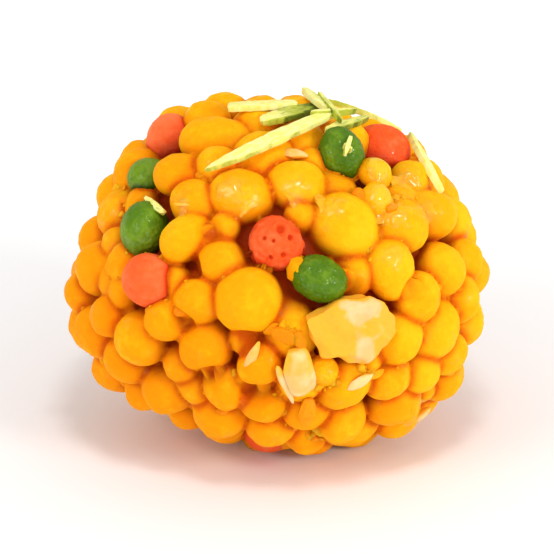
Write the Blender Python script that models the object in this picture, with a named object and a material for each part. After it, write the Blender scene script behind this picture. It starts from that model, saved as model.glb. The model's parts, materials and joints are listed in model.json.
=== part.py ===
"""A boondi ladoo: a hand-rolled ball of fried gram-flour drops, soaked in syrup until they stick.

Plain drops and a few dyed ones are pressed together into the ball, with melon seeds and broken cashew among
them and slivers of pistachio on top. The drops, seeds and slivers are one fused solid over a core, and each
piece of cashew is a solid of its own, set in a socket.

Units are metres and +Z is up. The origin is the middle of the flat spot that the ball rests on. The shown
side faces -Y and is looked at from above the horizon. Pieces that stand out there are placed by how far
across and up they show from the middle of the ball, seen square from that side. A rule packs the rest.
"""

import math
from typing import NamedTuple

import bmesh
import bpy
import numpy as np
from mathutils import Matrix

MM = 0.001

# The ball: half its width, depth and height out to the drops, and how deep its flat spot and core lie.
BALL_HALF_SIZES = np.array((23.1, 21.5, 19.7)) * MM
FLAT_SPOT_DEPTH = 1.4 * MM
CORE_DEPTH = 2.3 * MM
BALL_MIDDLE = np.array((0.0, 0.0, BALL_HALF_SIZES[2] - FLAT_SPOT_DEPTH))
VIEW_ELEVATION = math.radians(24)

# The hand that rolled it left the ball fuller or flatter in places: each one's bearing round the outline as
# it shows, in degrees from the right, and how far it stands out, in mm. All fade out over the same angle.
SWELLS = ((126, 1.7), (158, -1.1), (200, 0.9), (240, -1.2), (-40, 1.4))
SWELL_WIDTH = math.radians(24)
SWELL_ROUNDS = 4

# The drops: their usual radius and its spread, and how far neighbours are pressed into each other.
DROP_COUNT = 205
DROP_RADIUS = 2.9 * MM
DROP_RADIUS_SPREAD = 0.3 * MM
SMALLEST_DROP = 2.2 * MM
LARGEST_DROP = 3.5 * MM
UNEVEN_DEPTH = 0.5 * MM
UNEVEN_DEPTH_RANGE = (-0.3, 1.0)
UNEVEN_SHAPE = 0.07
PRESSED_TOGETHER = 0.87
NO_ROOM_AT_FIRST = 0.55
NO_ROOM_AT_LAST = 0.74
SETTLING_ROUNDS = 300

# Smaller drops and broken ones, which go wherever the others leave a gap of this share of their reach.
GAP_RADII = (2.4 * MM, 2.0 * MM, 1.6 * MM)
GAP_SPOTS = 2400
GAP_ROOM = 0.78
GAP_SINK = 0.9 * MM

# A packed drop in front of a dyed one that shows leaves it this share of their reach to be seen in.
VIEW_OF_DYED = 0.6
SEED = 27

# Flat facets lie inside a round skin, so faceted drops are drawn larger by this much.
FACET_ALLOWANCE = 1.07
DROP_SIDES = 6
DROP_RING_ANGLES = tuple(math.radians(angle) for angle in (48, 100))
CORE_SUBDIVISIONS = 3
CHIP_SEGMENTS = 5
CHIP_RINGS = 4
CHIP_THICKNESS_SHARE = 0.6

# A sliver of pistachio: its thickness, how many steps bend it, and how much each end narrows and how late.
SLIVER_THICKNESS = 0.9 * MM
SLIVER_STEPS = 5
SLIVER_POINT = 0.4
SLIVER_TAPER = 3

# How far a seed's middle and a sliver's underside are pressed into the drops that they lie on.
CHIP_PRESS = 0.15 * MM
SLIVER_PRESS = 0.2 * MM
LAYING_ROUNDS = 6

# A broken piece of cashew: its outline seen from outside, in mm, and how its rings shrink with depth.
CASHEW_OUTLINE = (
    (-5.0, 1.7), (-2.5, 3.7), (1.4, 4.0), (4.6, 2.2), (5.0, -0.3),
    (4.6, -2.4), (2.4, -4.0), (-0.3, -3.8), (-1.8, -2.7), (-4.5, -0.7),
)
CASHEW_RINGS = ((-4.2, 0.7), (-2.8, 0.95), (-0.8, 1.0), (0.1, 0.86))
CLEARANCE = 0.35 * MM
SOCKET_MOUTH = 4.0 * MM
CASHEW_PACKING_RADIUS = 4.4 * MM


class Drop(NamedTuple):
    """A drop that stands out on the shown side. Lengths are in mm, and lean is in degrees."""

    across: float
    up: float
    radius: float
    stretch: float = 1.0
    lean: float = 0.0
    sink: float = 0.0


class Chip(NamedTuple):
    """A melon seed or nut splinter on the shown side. Lengths are in mm, and lean is in degrees."""

    across: float
    up: float
    half_length: float
    half_width: float
    lean: float


class Sliver(NamedTuple):
    """A sliver of pistachio by its ends, as it shows, in mm. Lift is how far others hold it off the drops."""

    from_across: float
    from_up: float
    to_across: float
    to_up: float
    width: float
    lift: float = 0.0


class Cashew(NamedTuple):
    """A piece of cashew by where it sits: degrees round from the shown side, and up. Turn is in degrees."""

    name: str
    bearing: float
    elevation: float
    size: float
    turn: float


RED_DROPS = (
    Drop(-11.9, 15.0, 2.9),
    Drop(-13.9, -0.6, 2.95),
    Drop(-0.1, 3.5, 3.0, sink=0.4),
    Drop(11.9, 14.0, 3.0, sink=-0.8),
    Drop(-1.2, -20.2, 2.8, sink=0.4),
)
GREEN_DROPS = (
    Drop(-14.2, 11.2, 2.3),
    Drop(-14.3, 5.1, 2.7, stretch=1.17, lean=80),
    Drop(4.6, -0.2, 2.7, stretch=1.15, lean=-20, sink=-0.3),
    Drop(6.6, 13.0, 2.5, stretch=1.1, lean=100),
)
PLAIN_DROPS = (
    Drop(-10.4, 10.9, 2.5, stretch=1.2),
    Drop(-6.6, 14.6, 2.8, stretch=1.4, lean=5),
    Drop(-6.0, 18.6, 2.9),
    Drop(-3.8, 8.6, 3.0, stretch=1.2, lean=-20),
    Drop(2.0, 9.8, 2.9, stretch=1.15),
    Drop(7.1, 5.1, 3.7, stretch=1.1, lean=-45),
    Drop(-9.8, 4.1, 2.4, stretch=1.3, lean=35),
    Drop(-6.0, 1.6, 2.8, sink=0.9),
    Drop(-3.0, -2.5, 3.7, sink=-0.6),
    Drop(12.0, 0.9, 2.7, stretch=1.2, lean=80),
    Drop(17.3, 0.6, 3.0),
    Drop(21.0, 0.4, 2.8),
    Drop(16.3, -5.4, 3.6),
    Drop(17.6, -10.6, 3.0),
    Drop(12.3, -13.0, 3.3),
    Drop(6.8, -15.0, 2.7, stretch=1.15, lean=90),
    Drop(-6.0, -14.4, 3.1, sink=-0.3),
    Drop(-11.6, -11.8, 3.2),
    Drop(-14.4, -6.5, 3.1),
    Drop(-7.6, -7.4, 3.1, sink=0.5),
    Drop(-0.6, -15.6, 2.8),
    Drop(5.0, -10.0, 1.7),
    Drop(-1.8, -9.3, 2.4, stretch=1.2, lean=60, sink=0.3),
    Drop(-18.8, 1.0, 3.1),
    Drop(-17.8, 9.0, 2.8),
    Drop(-18.4, -10.4, 2.9),
    Drop(14.6, -16.8, 2.9),
    Drop(14.4, 10.4, 2.3),
    Drop(10.6, 11.2, 1.7, sink=-0.2),
    Drop(10.6, 8.2, 1.8),
    Drop(16.3, 6.6, 2.8, stretch=1.2),
)
CHIPS = (
    Chip(2.0, -10.9, 3.2, 1.5, -72),
    Chip(3.4, -15.6, 1.7, 0.9, -78),
    Chip(-2.5, -8.3, 2.3, 0.7, 65),
    Chip(9.0, -11.4, 1.6, 0.7, 30),
    Chip(15.5, -15.3, 1.7, 1.0, 50),
    Chip(1.6, 13.3, 1.7, 0.7, 5),
)
SLIVERS = (
    Sliver(-7.7, 11.6, 6.6, 17.8, 1.8, lift=0.4),
    Sliver(-5.4, 18.2, 2.6, 18.6, 1.8),
    Sliver(-1.8, 16.4, 4.8, 18.2, 2.3),
    Sliver(2.8, 20.0, 5.9, 17.2, 1.1, lift=0.5),
    Sliver(4.6, 20.0, 13.6, 15.8, 1.0),
    Sliver(5.2, 16.0, 9.9, 17.4, 1.2),
    Sliver(14.5, 15.5, 17.8, 9.2, 1.0),
)
CASHEWS = (
    Cashew("cashew_piece_1", 24, 5, 1.0, 0),
    Cashew("cashew_piece_2", 152, 28, 0.9, 140),
    Cashew("cashew_piece_3", -118, -8, 0.85, 75),
)

# Each finish: its colour, roughness and metallic value.
PLAIN_FINISH = ("Boondi_Plain", (0.98, 0.42, 0.02), 0.35, 0.0)
RED_FINISH = ("Boondi_Red", (0.93, 0.11, 0.03), 0.4, 0.0)
GREEN_FINISH = ("Boondi_Green", (0.07, 0.22, 0.02), 0.4, 0.0)
SEED_FINISH = ("Melon_Seed", (0.95, 0.72, 0.36), 0.5, 0.0)
PISTACHIO_FINISH = ("Pistachio", (0.80, 0.78, 0.20), 0.55, 0.0)
CASHEW_FINISH = ("Cashew", (0.96, 0.75, 0.36), 0.5, 0.0)


def clear_scene():
    """Removes every object that the scene starts with."""
    for thing in list(bpy.data.objects):
        bpy.data.objects.remove(thing)


def make_material(finish):
    """A material of this name, colour, roughness and metallic value."""
    name, colour, roughness, metallic = finish
    material = bpy.data.materials.new(name)
    material.use_nodes = True
    shader = material.node_tree.nodes["Principled BSDF"]
    shader.inputs["Base Color"].default_value = (*colour, 1.0)
    shader.inputs["Roughness"].default_value = roughness
    shader.inputs["Metallic"].default_value = metallic
    return material


def seen_axes():
    """The directions across, up and towards the eye, seen square from the shown side."""
    across = np.array((1.0, 0.0, 0.0))
    up = np.array((0.0, math.sin(VIEW_ELEVATION), math.cos(VIEW_ELEVATION)))
    towards = np.array((0.0, -math.cos(VIEW_ELEVATION), math.sin(VIEW_ELEVATION)))
    return across, up, towards


def swell(points):
    """How far the ball's skin stands out beyond a plain ellipsoid, above each point."""
    across, up, _ = seen_axes()
    directions = points / np.linalg.norm(points, axis=-1, keepdims=True)
    height = 0.0
    for bearing, rise in SWELLS:
        angle = math.radians(bearing)
        middle = math.cos(angle) * across + math.sin(angle) * up
        away = np.arccos(np.clip(directions @ middle, -1, 1)) / SWELL_WIDTH
        height = height + rise * MM * np.exp(-(away**2))
    return height


def seen_point(across, up, depth):
    """The point this deep under the ball's skin that shows at this place, or at the nearest edge."""
    point = plain_seen_point(across, up, depth)
    for _ in range(SWELL_ROUNDS):
        point = plain_seen_point(across, up, depth - swell(point))
    return point


def plain_seen_point(across, up, depth):
    """The same on the ball as a plain ellipsoid."""
    right, top, towards = seen_axes()
    half_sizes = BALL_HALF_SIZES - depth
    sideways = (across * right + up * top) / half_sizes
    facing = towards / half_sizes
    slope = sideways @ facing
    steepness = facing @ facing
    spread = sideways @ sideways
    room = slope**2 - steepness * (spread - 1)
    if room < 0:
        shrink = math.sqrt(steepness / (steepness * spread - slope**2))
        return shrink * (sideways - slope / steepness * facing) * half_sizes
    return (sideways + (math.sqrt(room) - slope) / steepness * facing) * half_sizes


def outward(point):
    """The direction square to the ball's skin above this point."""
    normal = point / BALL_HALF_SIZES**2
    return normal / np.linalg.norm(normal)


def leaning_axes(normal, lean):
    """Three directions on the skin: along a lean in degrees as it shows, square to that, and outward."""
    across, up, _ = seen_axes()
    angle = math.radians(lean)
    along = math.cos(angle) * across + math.sin(angle) * up
    along = along - (along @ normal) * normal
    along = along / np.linalg.norm(along)
    return along, np.cross(normal, along), normal


def on_shell(points, depths):
    """Each point, moved straight out or in to its own depth under the skin."""
    half_sizes = BALL_HALF_SIZES + (swell(points) - depths)[:, None]
    directions = points / half_sizes
    return directions / np.linalg.norm(directions, axis=1)[:, None] * half_sizes


def even_directions(count):
    """Directions spread evenly over a sphere, along a golden-angle spiral."""
    step = np.arange(count) + 0.5
    height = 1 - 2 * step / count
    turn = step * math.pi * (3 - math.sqrt(5))
    reach = np.sqrt(1 - height**2)
    return np.column_stack((reach * np.cos(turn), reach * np.sin(turn), height))


def room_between(points, reaches, centres, radii):
    """For each point and each drop, their distance as a share of both radii together."""
    distances = np.linalg.norm(points[:, None] - centres[None], axis=2)
    return distances / (np.atleast_1d(reaches)[:, None] + radii[None])


def leaves_in_view(points, reaches, dyed_centres, dyed_radii):
    """Whether a drop at each point would leave every dyed drop that shows in view."""
    seen = np.column_stack(seen_axes())
    offsets = (points @ seen)[:, None] - (dyed_centres @ seen)[None]
    across_view = np.linalg.norm(offsets[..., :2], axis=2)
    in_front = offsets[..., 2] > 0
    close = across_view < VIEW_OF_DYED * (np.atleast_1d(reaches)[:, None] + dyed_radii[None])
    return ~(in_front & close).any(axis=1)


def drop_shape(drop):
    """The matrix that takes a unit ball to a drop that stands out, longer along its lean."""
    across, up, _ = seen_axes()
    lean = math.radians(drop.lean)
    longer = math.cos(lean) * across + math.sin(lean) * up
    return (np.eye(3) + (drop.stretch - 1) * np.outer(longer, longer)) * drop.radius * MM


def held_drops():
    """The middles, packing radii and shapes of the drops that stand out, in the order they are named."""
    centres = []
    radii = []
    shapes = []
    for drop in RED_DROPS + GREEN_DROPS + PLAIN_DROPS:
        depth = (drop.radius + drop.sink) * MM
        centres.append(seen_point(drop.across * MM, drop.up * MM, depth))
        radii.append(drop.radius * MM * (1 + drop.stretch) / 2)
        shapes.append(drop_shape(drop))
    return centres, radii, shapes


def cashew_normal(cashew):
    """The direction from the ball's middle to a piece of cashew."""
    bearing = math.radians(cashew.bearing)
    elevation = math.radians(cashew.elevation)
    level = math.cos(elevation)
    return np.array((math.sin(bearing) * level, -math.cos(bearing) * level, math.sin(elevation)))


def cashew_place(cashew):
    """The point on the ball's skin where a piece of cashew shows."""
    direction = cashew_normal(cashew) / BALL_HALF_SIZES
    return direction / np.linalg.norm(direction) * BALL_HALF_SIZES


def settle(centres, radii, depths, held):
    """Pushes crowded drops apart along the skin. The first ones, which are held, stay put."""
    for _ in range(SETTLING_ROUNDS):
        gaps = centres[:, None] - centres[None]
        distances = np.linalg.norm(gaps, axis=2)
        np.fill_diagonal(distances, np.inf)
        lacking = PRESSED_TOGETHER * (radii[:, None] + radii[None]) - distances
        pushes = gaps / distances[..., None] * np.clip(lacking, 0, None)[..., None] / 2
        moved = centres[held:] + pushes.sum(axis=1)[held:]
        centres[held:] = on_shell(moved, depths[held:])
    return centres


def fill_gaps(centres, radii):
    """Adds small drops in the gaps, each where the most room is, from the largest size to the smallest."""
    dyed = len(RED_DROPS + GREEN_DROPS)
    for radius in GAP_RADII:
        places = on_shell(even_directions(GAP_SPOTS) * BALL_HALF_SIZES, np.full(GAP_SPOTS, radius + GAP_SINK))
        in_view = leaves_in_view(places, radius, np.array(centres[:dyed]), np.array(radii[:dyed]))
        places = places[in_view]
        room = room_between(places, radius, np.array(centres), np.array(radii)).min(axis=1)
        while room.max() > GAP_ROOM:
            place = places[room.argmax()]
            centres.append(place)
            radii.append(radius)
            room = np.minimum(room, room_between(places, radius, place[None], np.array((radius,)))[:, 0])


def pack_drops():
    """The middle and shape of every drop: the ones that stand out, the lowest one, then the packed ones."""
    rng = np.random.default_rng(SEED)
    held_centres, held_radii, held_shapes = held_drops()
    lowest = np.array((0.0, 0.0, DROP_RADIUS - BALL_HALF_SIZES[2]))
    nuts = [place - outward(place) * DROP_RADIUS for place in map(cashew_place, CASHEWS)]
    nut_radii = [CASHEW_PACKING_RADIUS * cashew.size for cashew in CASHEWS]
    fixed_centres = np.array([*held_centres, lowest, *nuts])
    fixed_radii = np.array([*held_radii, DROP_RADIUS, *nut_radii])

    radii = np.clip(rng.normal(DROP_RADIUS, DROP_RADIUS_SPREAD, DROP_COUNT), SMALLEST_DROP, LARGEST_DROP)
    depths = radii + rng.uniform(*UNEVEN_DEPTH_RANGE, DROP_COUNT) * UNEVEN_DEPTH
    centres = on_shell(even_directions(DROP_COUNT) * BALL_HALF_SIZES, depths)
    free = room_between(centres, radii, fixed_centres, fixed_radii).min(axis=1) > NO_ROOM_AT_FIRST
    radii = np.concatenate((fixed_radii, radii[free]))
    depths = np.concatenate((fixed_radii, depths[free]))
    centres = settle(np.concatenate((fixed_centres, centres[free])), radii, depths, len(fixed_radii))

    dyed = len(RED_DROPS + GREEN_DROPS)
    in_view = leaves_in_view(centres, radii, centres[:dyed], radii[:dyed])
    kept = list(range(len(fixed_radii)))
    for index in range(len(fixed_radii), len(radii)):
        room = room_between(centres[index][None], radii[index], centres[kept], radii[kept])
        if in_view[index] and room.min() > NO_ROOM_AT_LAST:
            kept.append(index)
    all_centres = [centres[index] for index in kept]
    all_radii = [radii[index] for index in kept]
    fill_gaps(all_centres, all_radii)

    drops = [*zip(held_centres, held_shapes), (lowest, np.eye(3) * DROP_RADIUS)]
    for centre, radius in list(zip(all_centres, all_radii))[len(fixed_radii):]:
        drops.append((centre, uneven_shape(rng, radius)))
    return drops


def gaps_above(points, drops):
    """How far each point lies outside the nearest drop."""
    inverses = np.linalg.inv([shape for _, shape in drops])
    offsets = points[:, None] - np.array([centre for centre, _ in drops])
    reaches = np.linalg.norm(np.einsum("kij,mkj->mki", inverses, offsets), axis=2)
    return (np.linalg.norm(offsets, axis=2) * (1 - 1 / reaches)).min(axis=1)


def lay_down(points, gap, drops):
    """Points moved together, straight in or out, until the lowest one lies this far above the drops."""
    directions = np.array([outward(point) for point in points])
    for _ in range(LAYING_ROUNDS):
        points = points - directions * (gaps_above(points, drops).min() - gap)
    return points


def uneven_shape(rng, radius):
    """The matrix that takes a unit ball to a slightly uneven drop, turned at random."""
    turn, _ = np.linalg.qr(rng.normal(size=(3, 3)))
    lengths = radius * (1 + UNEVEN_SHAPE * rng.uniform(-1, 1, 3))
    return turn * lengths @ turn.T


def place_matrix(centre, axes):
    """The matrix that takes a unit shape with these half axes to its place in the ball."""
    matrix = Matrix.Identity(4)
    for row in range(3):
        for column in range(3):
            matrix[row][column] = axes[row][column]
        matrix[row][3] = centre[row] + BALL_MIDDLE[row]
    return matrix


def make_object(name, mesh_data, material, collection):
    """A new object from a bmesh, its faces turned outward, in its collection."""
    bmesh.ops.recalc_face_normals(mesh_data, faces=mesh_data.faces)
    mesh = bpy.data.meshes.new(name)
    mesh_data.to_mesh(mesh)
    mesh_data.free()
    if material:
        mesh.materials.append(material)
    thing = bpy.data.objects.new(name, mesh)
    collection.objects.link(thing)
    return thing


def make_collection(name):
    """A new collection in the scene."""
    collection = bpy.data.collections.new(name)
    bpy.context.scene.collection.children.link(collection)
    return collection


def make_core(material):
    """The faceted core under the drops."""
    mesh_data = bmesh.new()
    matrix = place_matrix(np.zeros(3), np.diag(BALL_HALF_SIZES - CORE_DEPTH))
    bmesh.ops.create_icosphere(mesh_data, subdivisions=CORE_SUBDIVISIONS, radius=1.0, matrix=matrix)
    return make_object("ladoo", mesh_data, material, bpy.context.scene.collection)


def make_drop(centre, shape, material, collection):
    """A faceted drop: rings of points round the way out of the ball, and a point at each end."""
    along, beside, normal = leaning_axes(outward(centre), 0)
    mesh_data = bmesh.new()
    rings = []
    for level, angle in enumerate(DROP_RING_ANGLES):
        ring = []
        for side in range(DROP_SIDES):
            turn = math.tau * (side + level / 2) / DROP_SIDES
            level_part = (along * math.cos(turn) + beside * math.sin(turn)) * math.sin(angle)
            direction = level_part + normal * math.cos(angle)
            ring.append(mesh_data.verts.new(centre + shape @ direction * FACET_ALLOWANCE + BALL_MIDDLE))
        rings.append(ring)
    outer_end = mesh_data.verts.new(centre + shape @ normal * FACET_ALLOWANCE + BALL_MIDDLE)
    inner_end = mesh_data.verts.new(centre - shape @ normal * FACET_ALLOWANCE + BALL_MIDDLE)
    for side in range(DROP_SIDES):
        following = (side + 1) % DROP_SIDES
        mesh_data.faces.new((outer_end, rings[0][side], rings[0][following]))
        mesh_data.faces.new((inner_end, rings[-1][side], rings[-1][following]))
        for upper, lower in zip(rings, rings[1:]):
            mesh_data.faces.new((upper[side], lower[side], upper[following]))
            mesh_data.faces.new((upper[following], lower[side], lower[following]))
    return make_object("Drop", mesh_data, material, collection)


def make_chip(chip, drops, material, collection):
    """A flat seed or splinter that lies on the drops."""
    point = lay_down(seen_point(chip.across * MM, chip.up * MM, 0.0)[None], -CHIP_PRESS, drops)[0]
    along, beside, normal = leaning_axes(outward(point), chip.lean)
    half_width = chip.half_width * MM
    half_thickness = half_width * CHIP_THICKNESS_SHARE
    axes = np.column_stack((along * chip.half_length * MM, beside * half_width, normal * half_thickness))
    mesh_data = bmesh.new()
    bmesh.ops.create_uvsphere(
        mesh_data,
        u_segments=CHIP_SEGMENTS,
        v_segments=CHIP_RINGS,
        radius=1.0,
        matrix=place_matrix(point, np.roll(axes, -1, axis=1)),
    )
    return make_object("Chip", mesh_data, material, collection)


def make_sliver(sliver, drops, material, collection):
    """A thin strip of pistachio that bends with the ball and narrows at both ends."""
    start = np.array((sliver.from_across, sliver.from_up)) * MM
    end = np.array((sliver.to_across, sliver.to_up)) * MM
    shares = np.arange(SLIVER_STEPS + 1) / SLIVER_STEPS
    middles = np.array([seen_point(*(start + (end - start) * share), 0.0) for share in shares])
    middles = lay_down(middles, SLIVER_THICKNESS / 2 - SLIVER_PRESS + sliver.lift * MM, drops)
    mesh_data = bmesh.new()
    rings = []
    for step, middle in enumerate(middles):
        along = middles[min(step + 1, SLIVER_STEPS)] - middles[max(step - 1, 0)]
        normal = outward(middle)
        side = np.cross(normal, along)
        side = side / np.linalg.norm(side)
        at_end = abs(2 * step / SLIVER_STEPS - 1) ** SLIVER_TAPER
        half_width = sliver.width * MM / 2 * (1 - (1 - SLIVER_POINT) * at_end)
        half_thickness = SLIVER_THICKNESS / 2
        corners = (
            middle + side * half_width + normal * half_thickness,
            middle - side * half_width + normal * half_thickness,
            middle - side * half_width - normal * half_thickness,
            middle + side * half_width - normal * half_thickness,
        )
        rings.append([mesh_data.verts.new(corner + BALL_MIDDLE) for corner in corners])
    join_rings(mesh_data, rings)
    return make_object("Sliver", mesh_data, material, collection)


def join_rings(mesh_data, rings):
    """Joins rings of points into a tube and closes both its ends."""
    count = len(rings[0])
    for lower, upper in zip(rings, rings[1:]):
        for index in range(count):
            following = (index + 1) % count
            mesh_data.faces.new((lower[index], lower[following], upper[following], upper[index]))
    mesh_data.faces.new(rings[0])
    mesh_data.faces.new(rings[-1])


def make_cashew(cashew, grow, mouth, material, collection):
    """A piece of cashew, or, grown by its clearance and with a mouth, the cutter of its socket."""
    place = cashew_place(cashew)
    along, beside, normal = leaning_axes(outward(place), cashew.turn)
    levels = [[height * MM * cashew.size, share] for height, share in CASHEW_RINGS]
    levels[0][0] -= grow
    if mouth:
        levels[-1] = [mouth, 1.0]
    mesh_data = bmesh.new()
    rings = []
    for height, share in levels:
        ring = []
        for out, aside in CASHEW_OUTLINE:
            reach = math.hypot(out, aside)
            scale = share * cashew.size + grow / (reach * MM)
            flat = (along * out + beside * aside) * MM * scale
            ring.append(mesh_data.verts.new(place + flat + normal * height + BALL_MIDDLE))
        rings.append(ring)
    join_rings(mesh_data, rings)
    bmesh.ops.triangulate(mesh_data, faces=mesh_data.faces)
    return make_object(cashew.name, mesh_data, material, collection)


def add_boolean(thing, operation, collection):
    """A Boolean modifier that works on all of a collection at once."""
    boolean = thing.modifiers.new(operation.title(), "BOOLEAN")
    boolean.operation = operation
    boolean.operand_type = "COLLECTION"
    boolean.collection = collection
    boolean.solver = "EXACT"


def apply_modifiers(thing):
    """Puts the shape that the modifiers give into the object's own mesh."""
    depsgraph = bpy.context.evaluated_depsgraph_get()
    shaped = bpy.data.meshes.new_from_object(thing.evaluated_get(depsgraph))
    thing.modifiers.clear()
    thing.data = shaped
    shaped.name = thing.name


def remove_collection(collection):
    """Removes a collection and all its objects."""
    for thing in list(collection.objects):
        bpy.data.objects.remove(thing)
    bpy.data.collections.remove(collection)


def keep_outer_shell(thing):
    """Keeps the largest connected shell: sealed hollows are filled, and loose scraps are dropped."""
    mesh_data = bmesh.new()
    mesh_data.from_mesh(thing.data)
    unseen = set(mesh_data.faces)
    shells = []
    while unseen:
        shell = [unseen.pop()]
        for face in shell:
            for edge in face.edges:
                for neighbour in edge.link_faces:
                    if neighbour in unseen:
                        unseen.remove(neighbour)
                        shell.append(neighbour)
        shells.append(shell)
    shells.sort(key=len, reverse=True)
    scraps = [face for shell in shells[1:] for face in shell]
    bmesh.ops.delete(mesh_data, geom=scraps, context="FACES")
    mesh_data.to_mesh(thing.data)
    mesh_data.free()


def make_floor_cutter(collection):
    """The block that cuts the flat spot under the ball."""
    size = BALL_HALF_SIZES.max() * 3
    mesh_data = bmesh.new()
    bmesh.ops.create_cube(mesh_data, size=size, matrix=Matrix.Translation((0, 0, -size / 2)))
    return make_object("Floor_Cutter", mesh_data, None, collection)


def make_ladoo():
    """The fused ball of drops, seeds and slivers, with its flat spot and the sockets for the cashew."""
    plain = make_material(PLAIN_FINISH)
    red = make_material(RED_FINISH)
    green = make_material(GREEN_FINISH)
    seed = make_material(SEED_FINISH)
    pistachio = make_material(PISTACHIO_FINISH)
    dyes = [red] * len(RED_DROPS) + [green] * len(GREEN_DROPS)

    pieces = make_collection("Pieces")
    drops = pack_drops()
    for index, (centre, shape) in enumerate(drops):
        material = dyes[index] if index < len(dyes) else plain
        make_drop(centre, shape, material, pieces)
    for chip in CHIPS:
        make_chip(chip, drops, seed, pieces)
    for sliver in SLIVERS:
        make_sliver(sliver, drops, pistachio, pieces)

    cutters = make_collection("Cutters")
    make_floor_cutter(cutters)
    for cashew in CASHEWS:
        make_cashew(cashew, CLEARANCE, SOCKET_MOUTH, None, cutters)

    ladoo = make_core(plain)
    add_boolean(ladoo, "UNION", pieces)
    add_boolean(ladoo, "DIFFERENCE", cutters)
    apply_modifiers(ladoo)
    remove_collection(pieces)
    remove_collection(cutters)
    keep_outer_shell(ladoo)
    return ladoo


def main():
    """Builds the whole ladoo."""
    clear_scene()
    make_ladoo()
    nut = make_material(CASHEW_FINISH)
    for cashew in CASHEWS:
        make_cashew(cashew, 0.0, 0.0, nut, bpy.context.scene.collection)


main()
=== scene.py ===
"""The looks of a boondi ladoo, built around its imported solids.

The ball is a mass of fried gram-flour drops that syrup has stuck together. It is made as a field: every drop
is a slightly lumpy ball, the syrup rounds off the creases between them, and the skin of the field is meshed.
Dyed drops, cashew, melon seeds, pistachio slivers and crumbs are pieces of their own, placed on that ball by
the same rules as the solids. Points are in metres from the ball's middle, and each finished mesh is moved from
there into the frame of the solids. Sizes given in millimetres are multiplied by MM. The shown side faces -Y.
"""

from __future__ import annotations

import json
import logging
import math
from collections.abc import Iterable, Mapping, Sequence
from dataclasses import dataclass, field, replace
from enum import Enum

import bmesh
import bpy
import numpy as np
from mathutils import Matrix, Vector
from numpy.polynomial.polynomial import polyfit, polyval

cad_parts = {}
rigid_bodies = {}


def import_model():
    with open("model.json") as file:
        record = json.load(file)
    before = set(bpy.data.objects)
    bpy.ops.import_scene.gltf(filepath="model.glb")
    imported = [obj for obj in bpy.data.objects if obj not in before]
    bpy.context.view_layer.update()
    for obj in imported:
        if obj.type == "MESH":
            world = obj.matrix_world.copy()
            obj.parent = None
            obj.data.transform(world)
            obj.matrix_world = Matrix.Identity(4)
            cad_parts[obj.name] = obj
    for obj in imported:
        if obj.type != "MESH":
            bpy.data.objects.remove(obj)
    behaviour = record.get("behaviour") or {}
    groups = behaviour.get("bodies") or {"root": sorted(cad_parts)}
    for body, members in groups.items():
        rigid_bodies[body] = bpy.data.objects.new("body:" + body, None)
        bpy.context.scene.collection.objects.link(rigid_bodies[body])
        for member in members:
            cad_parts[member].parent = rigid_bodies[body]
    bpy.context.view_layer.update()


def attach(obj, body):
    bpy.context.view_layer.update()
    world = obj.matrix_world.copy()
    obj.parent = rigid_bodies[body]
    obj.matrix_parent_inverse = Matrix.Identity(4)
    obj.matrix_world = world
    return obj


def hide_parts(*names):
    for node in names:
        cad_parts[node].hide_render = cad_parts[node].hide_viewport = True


MM = 0.001
BODY = "root"
LADOO_NODE = "ladoo"
LOG = logging.getLogger("ladoo")

Colour = tuple[float, float, float]


class Dye(Enum):
    """What a drop's batter was coloured with."""

    PLAIN = "plain"
    RED = "red"
    GREEN = "green"


class Slot(Enum):
    """The record's material slots."""

    BOONDI = "boondi"
    BOONDI_RED = "boondi_red"
    BOONDI_GREEN = "boondi_green"
    CASHEW = "cashew"
    SEED = "seed"
    PISTACHIO = "pistachio"


# ---------------------------------------------------------------------------------------------------------
# Shader maths
# ---------------------------------------------------------------------------------------------------------


class Wire:
    """One value in a shader. Arithmetic on it adds the Math nodes that work it out."""

    def __init__(self, graph: Graph, socket: bpy.types.NodeSocket) -> None:
        """Keeps the socket that the value comes from, and the graph that holds it."""
        self.graph = graph
        self.socket = socket

    def _math(self, operation: str, *values: Wire | float) -> Wire:
        """The result of one Math node on these values."""
        node = self.graph.add("ShaderNodeMath", {"operation": operation}, dict(enumerate(values)))
        return Wire(self.graph, node.outputs[0])

    def __add__(self, other: Wire | float) -> Wire:
        """Adds two values."""
        return self._math("ADD", self, other)

    __radd__ = __add__

    def __sub__(self, other: Wire | float) -> Wire:
        """Takes the other value from this one."""
        return self._math("SUBTRACT", self, other)

    def __rsub__(self, other: Wire | float) -> Wire:
        """Takes this value from the other one."""
        return self._math("SUBTRACT", other, self)

    def __mul__(self, other: Wire | float) -> Wire:
        """Multiplies two values."""
        return self._math("MULTIPLY", self, other)

    __rmul__ = __mul__

    def __pow__(self, other: Wire | float) -> Wire:
        """Raises this value to a power."""
        return self._math("POWER", self, other)

    def eased(self, low: float, high: float) -> Wire:
        """A mask that rises smoothly from 0 at the low value to 1 at the high one.

        Args:
            low: The value at which the mask leaves 0.
            high: The value at which the mask reaches 1.

        Returns:
            The mask.
        """
        settings = {"interpolation_type": "SMOOTHSTEP"}
        sockets = {"Value": self, "From Min": low, "From Max": high}
        node = self.graph.add("ShaderNodeMapRange", settings, sockets)
        return Wire(self.graph, node.outputs[0])


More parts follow.
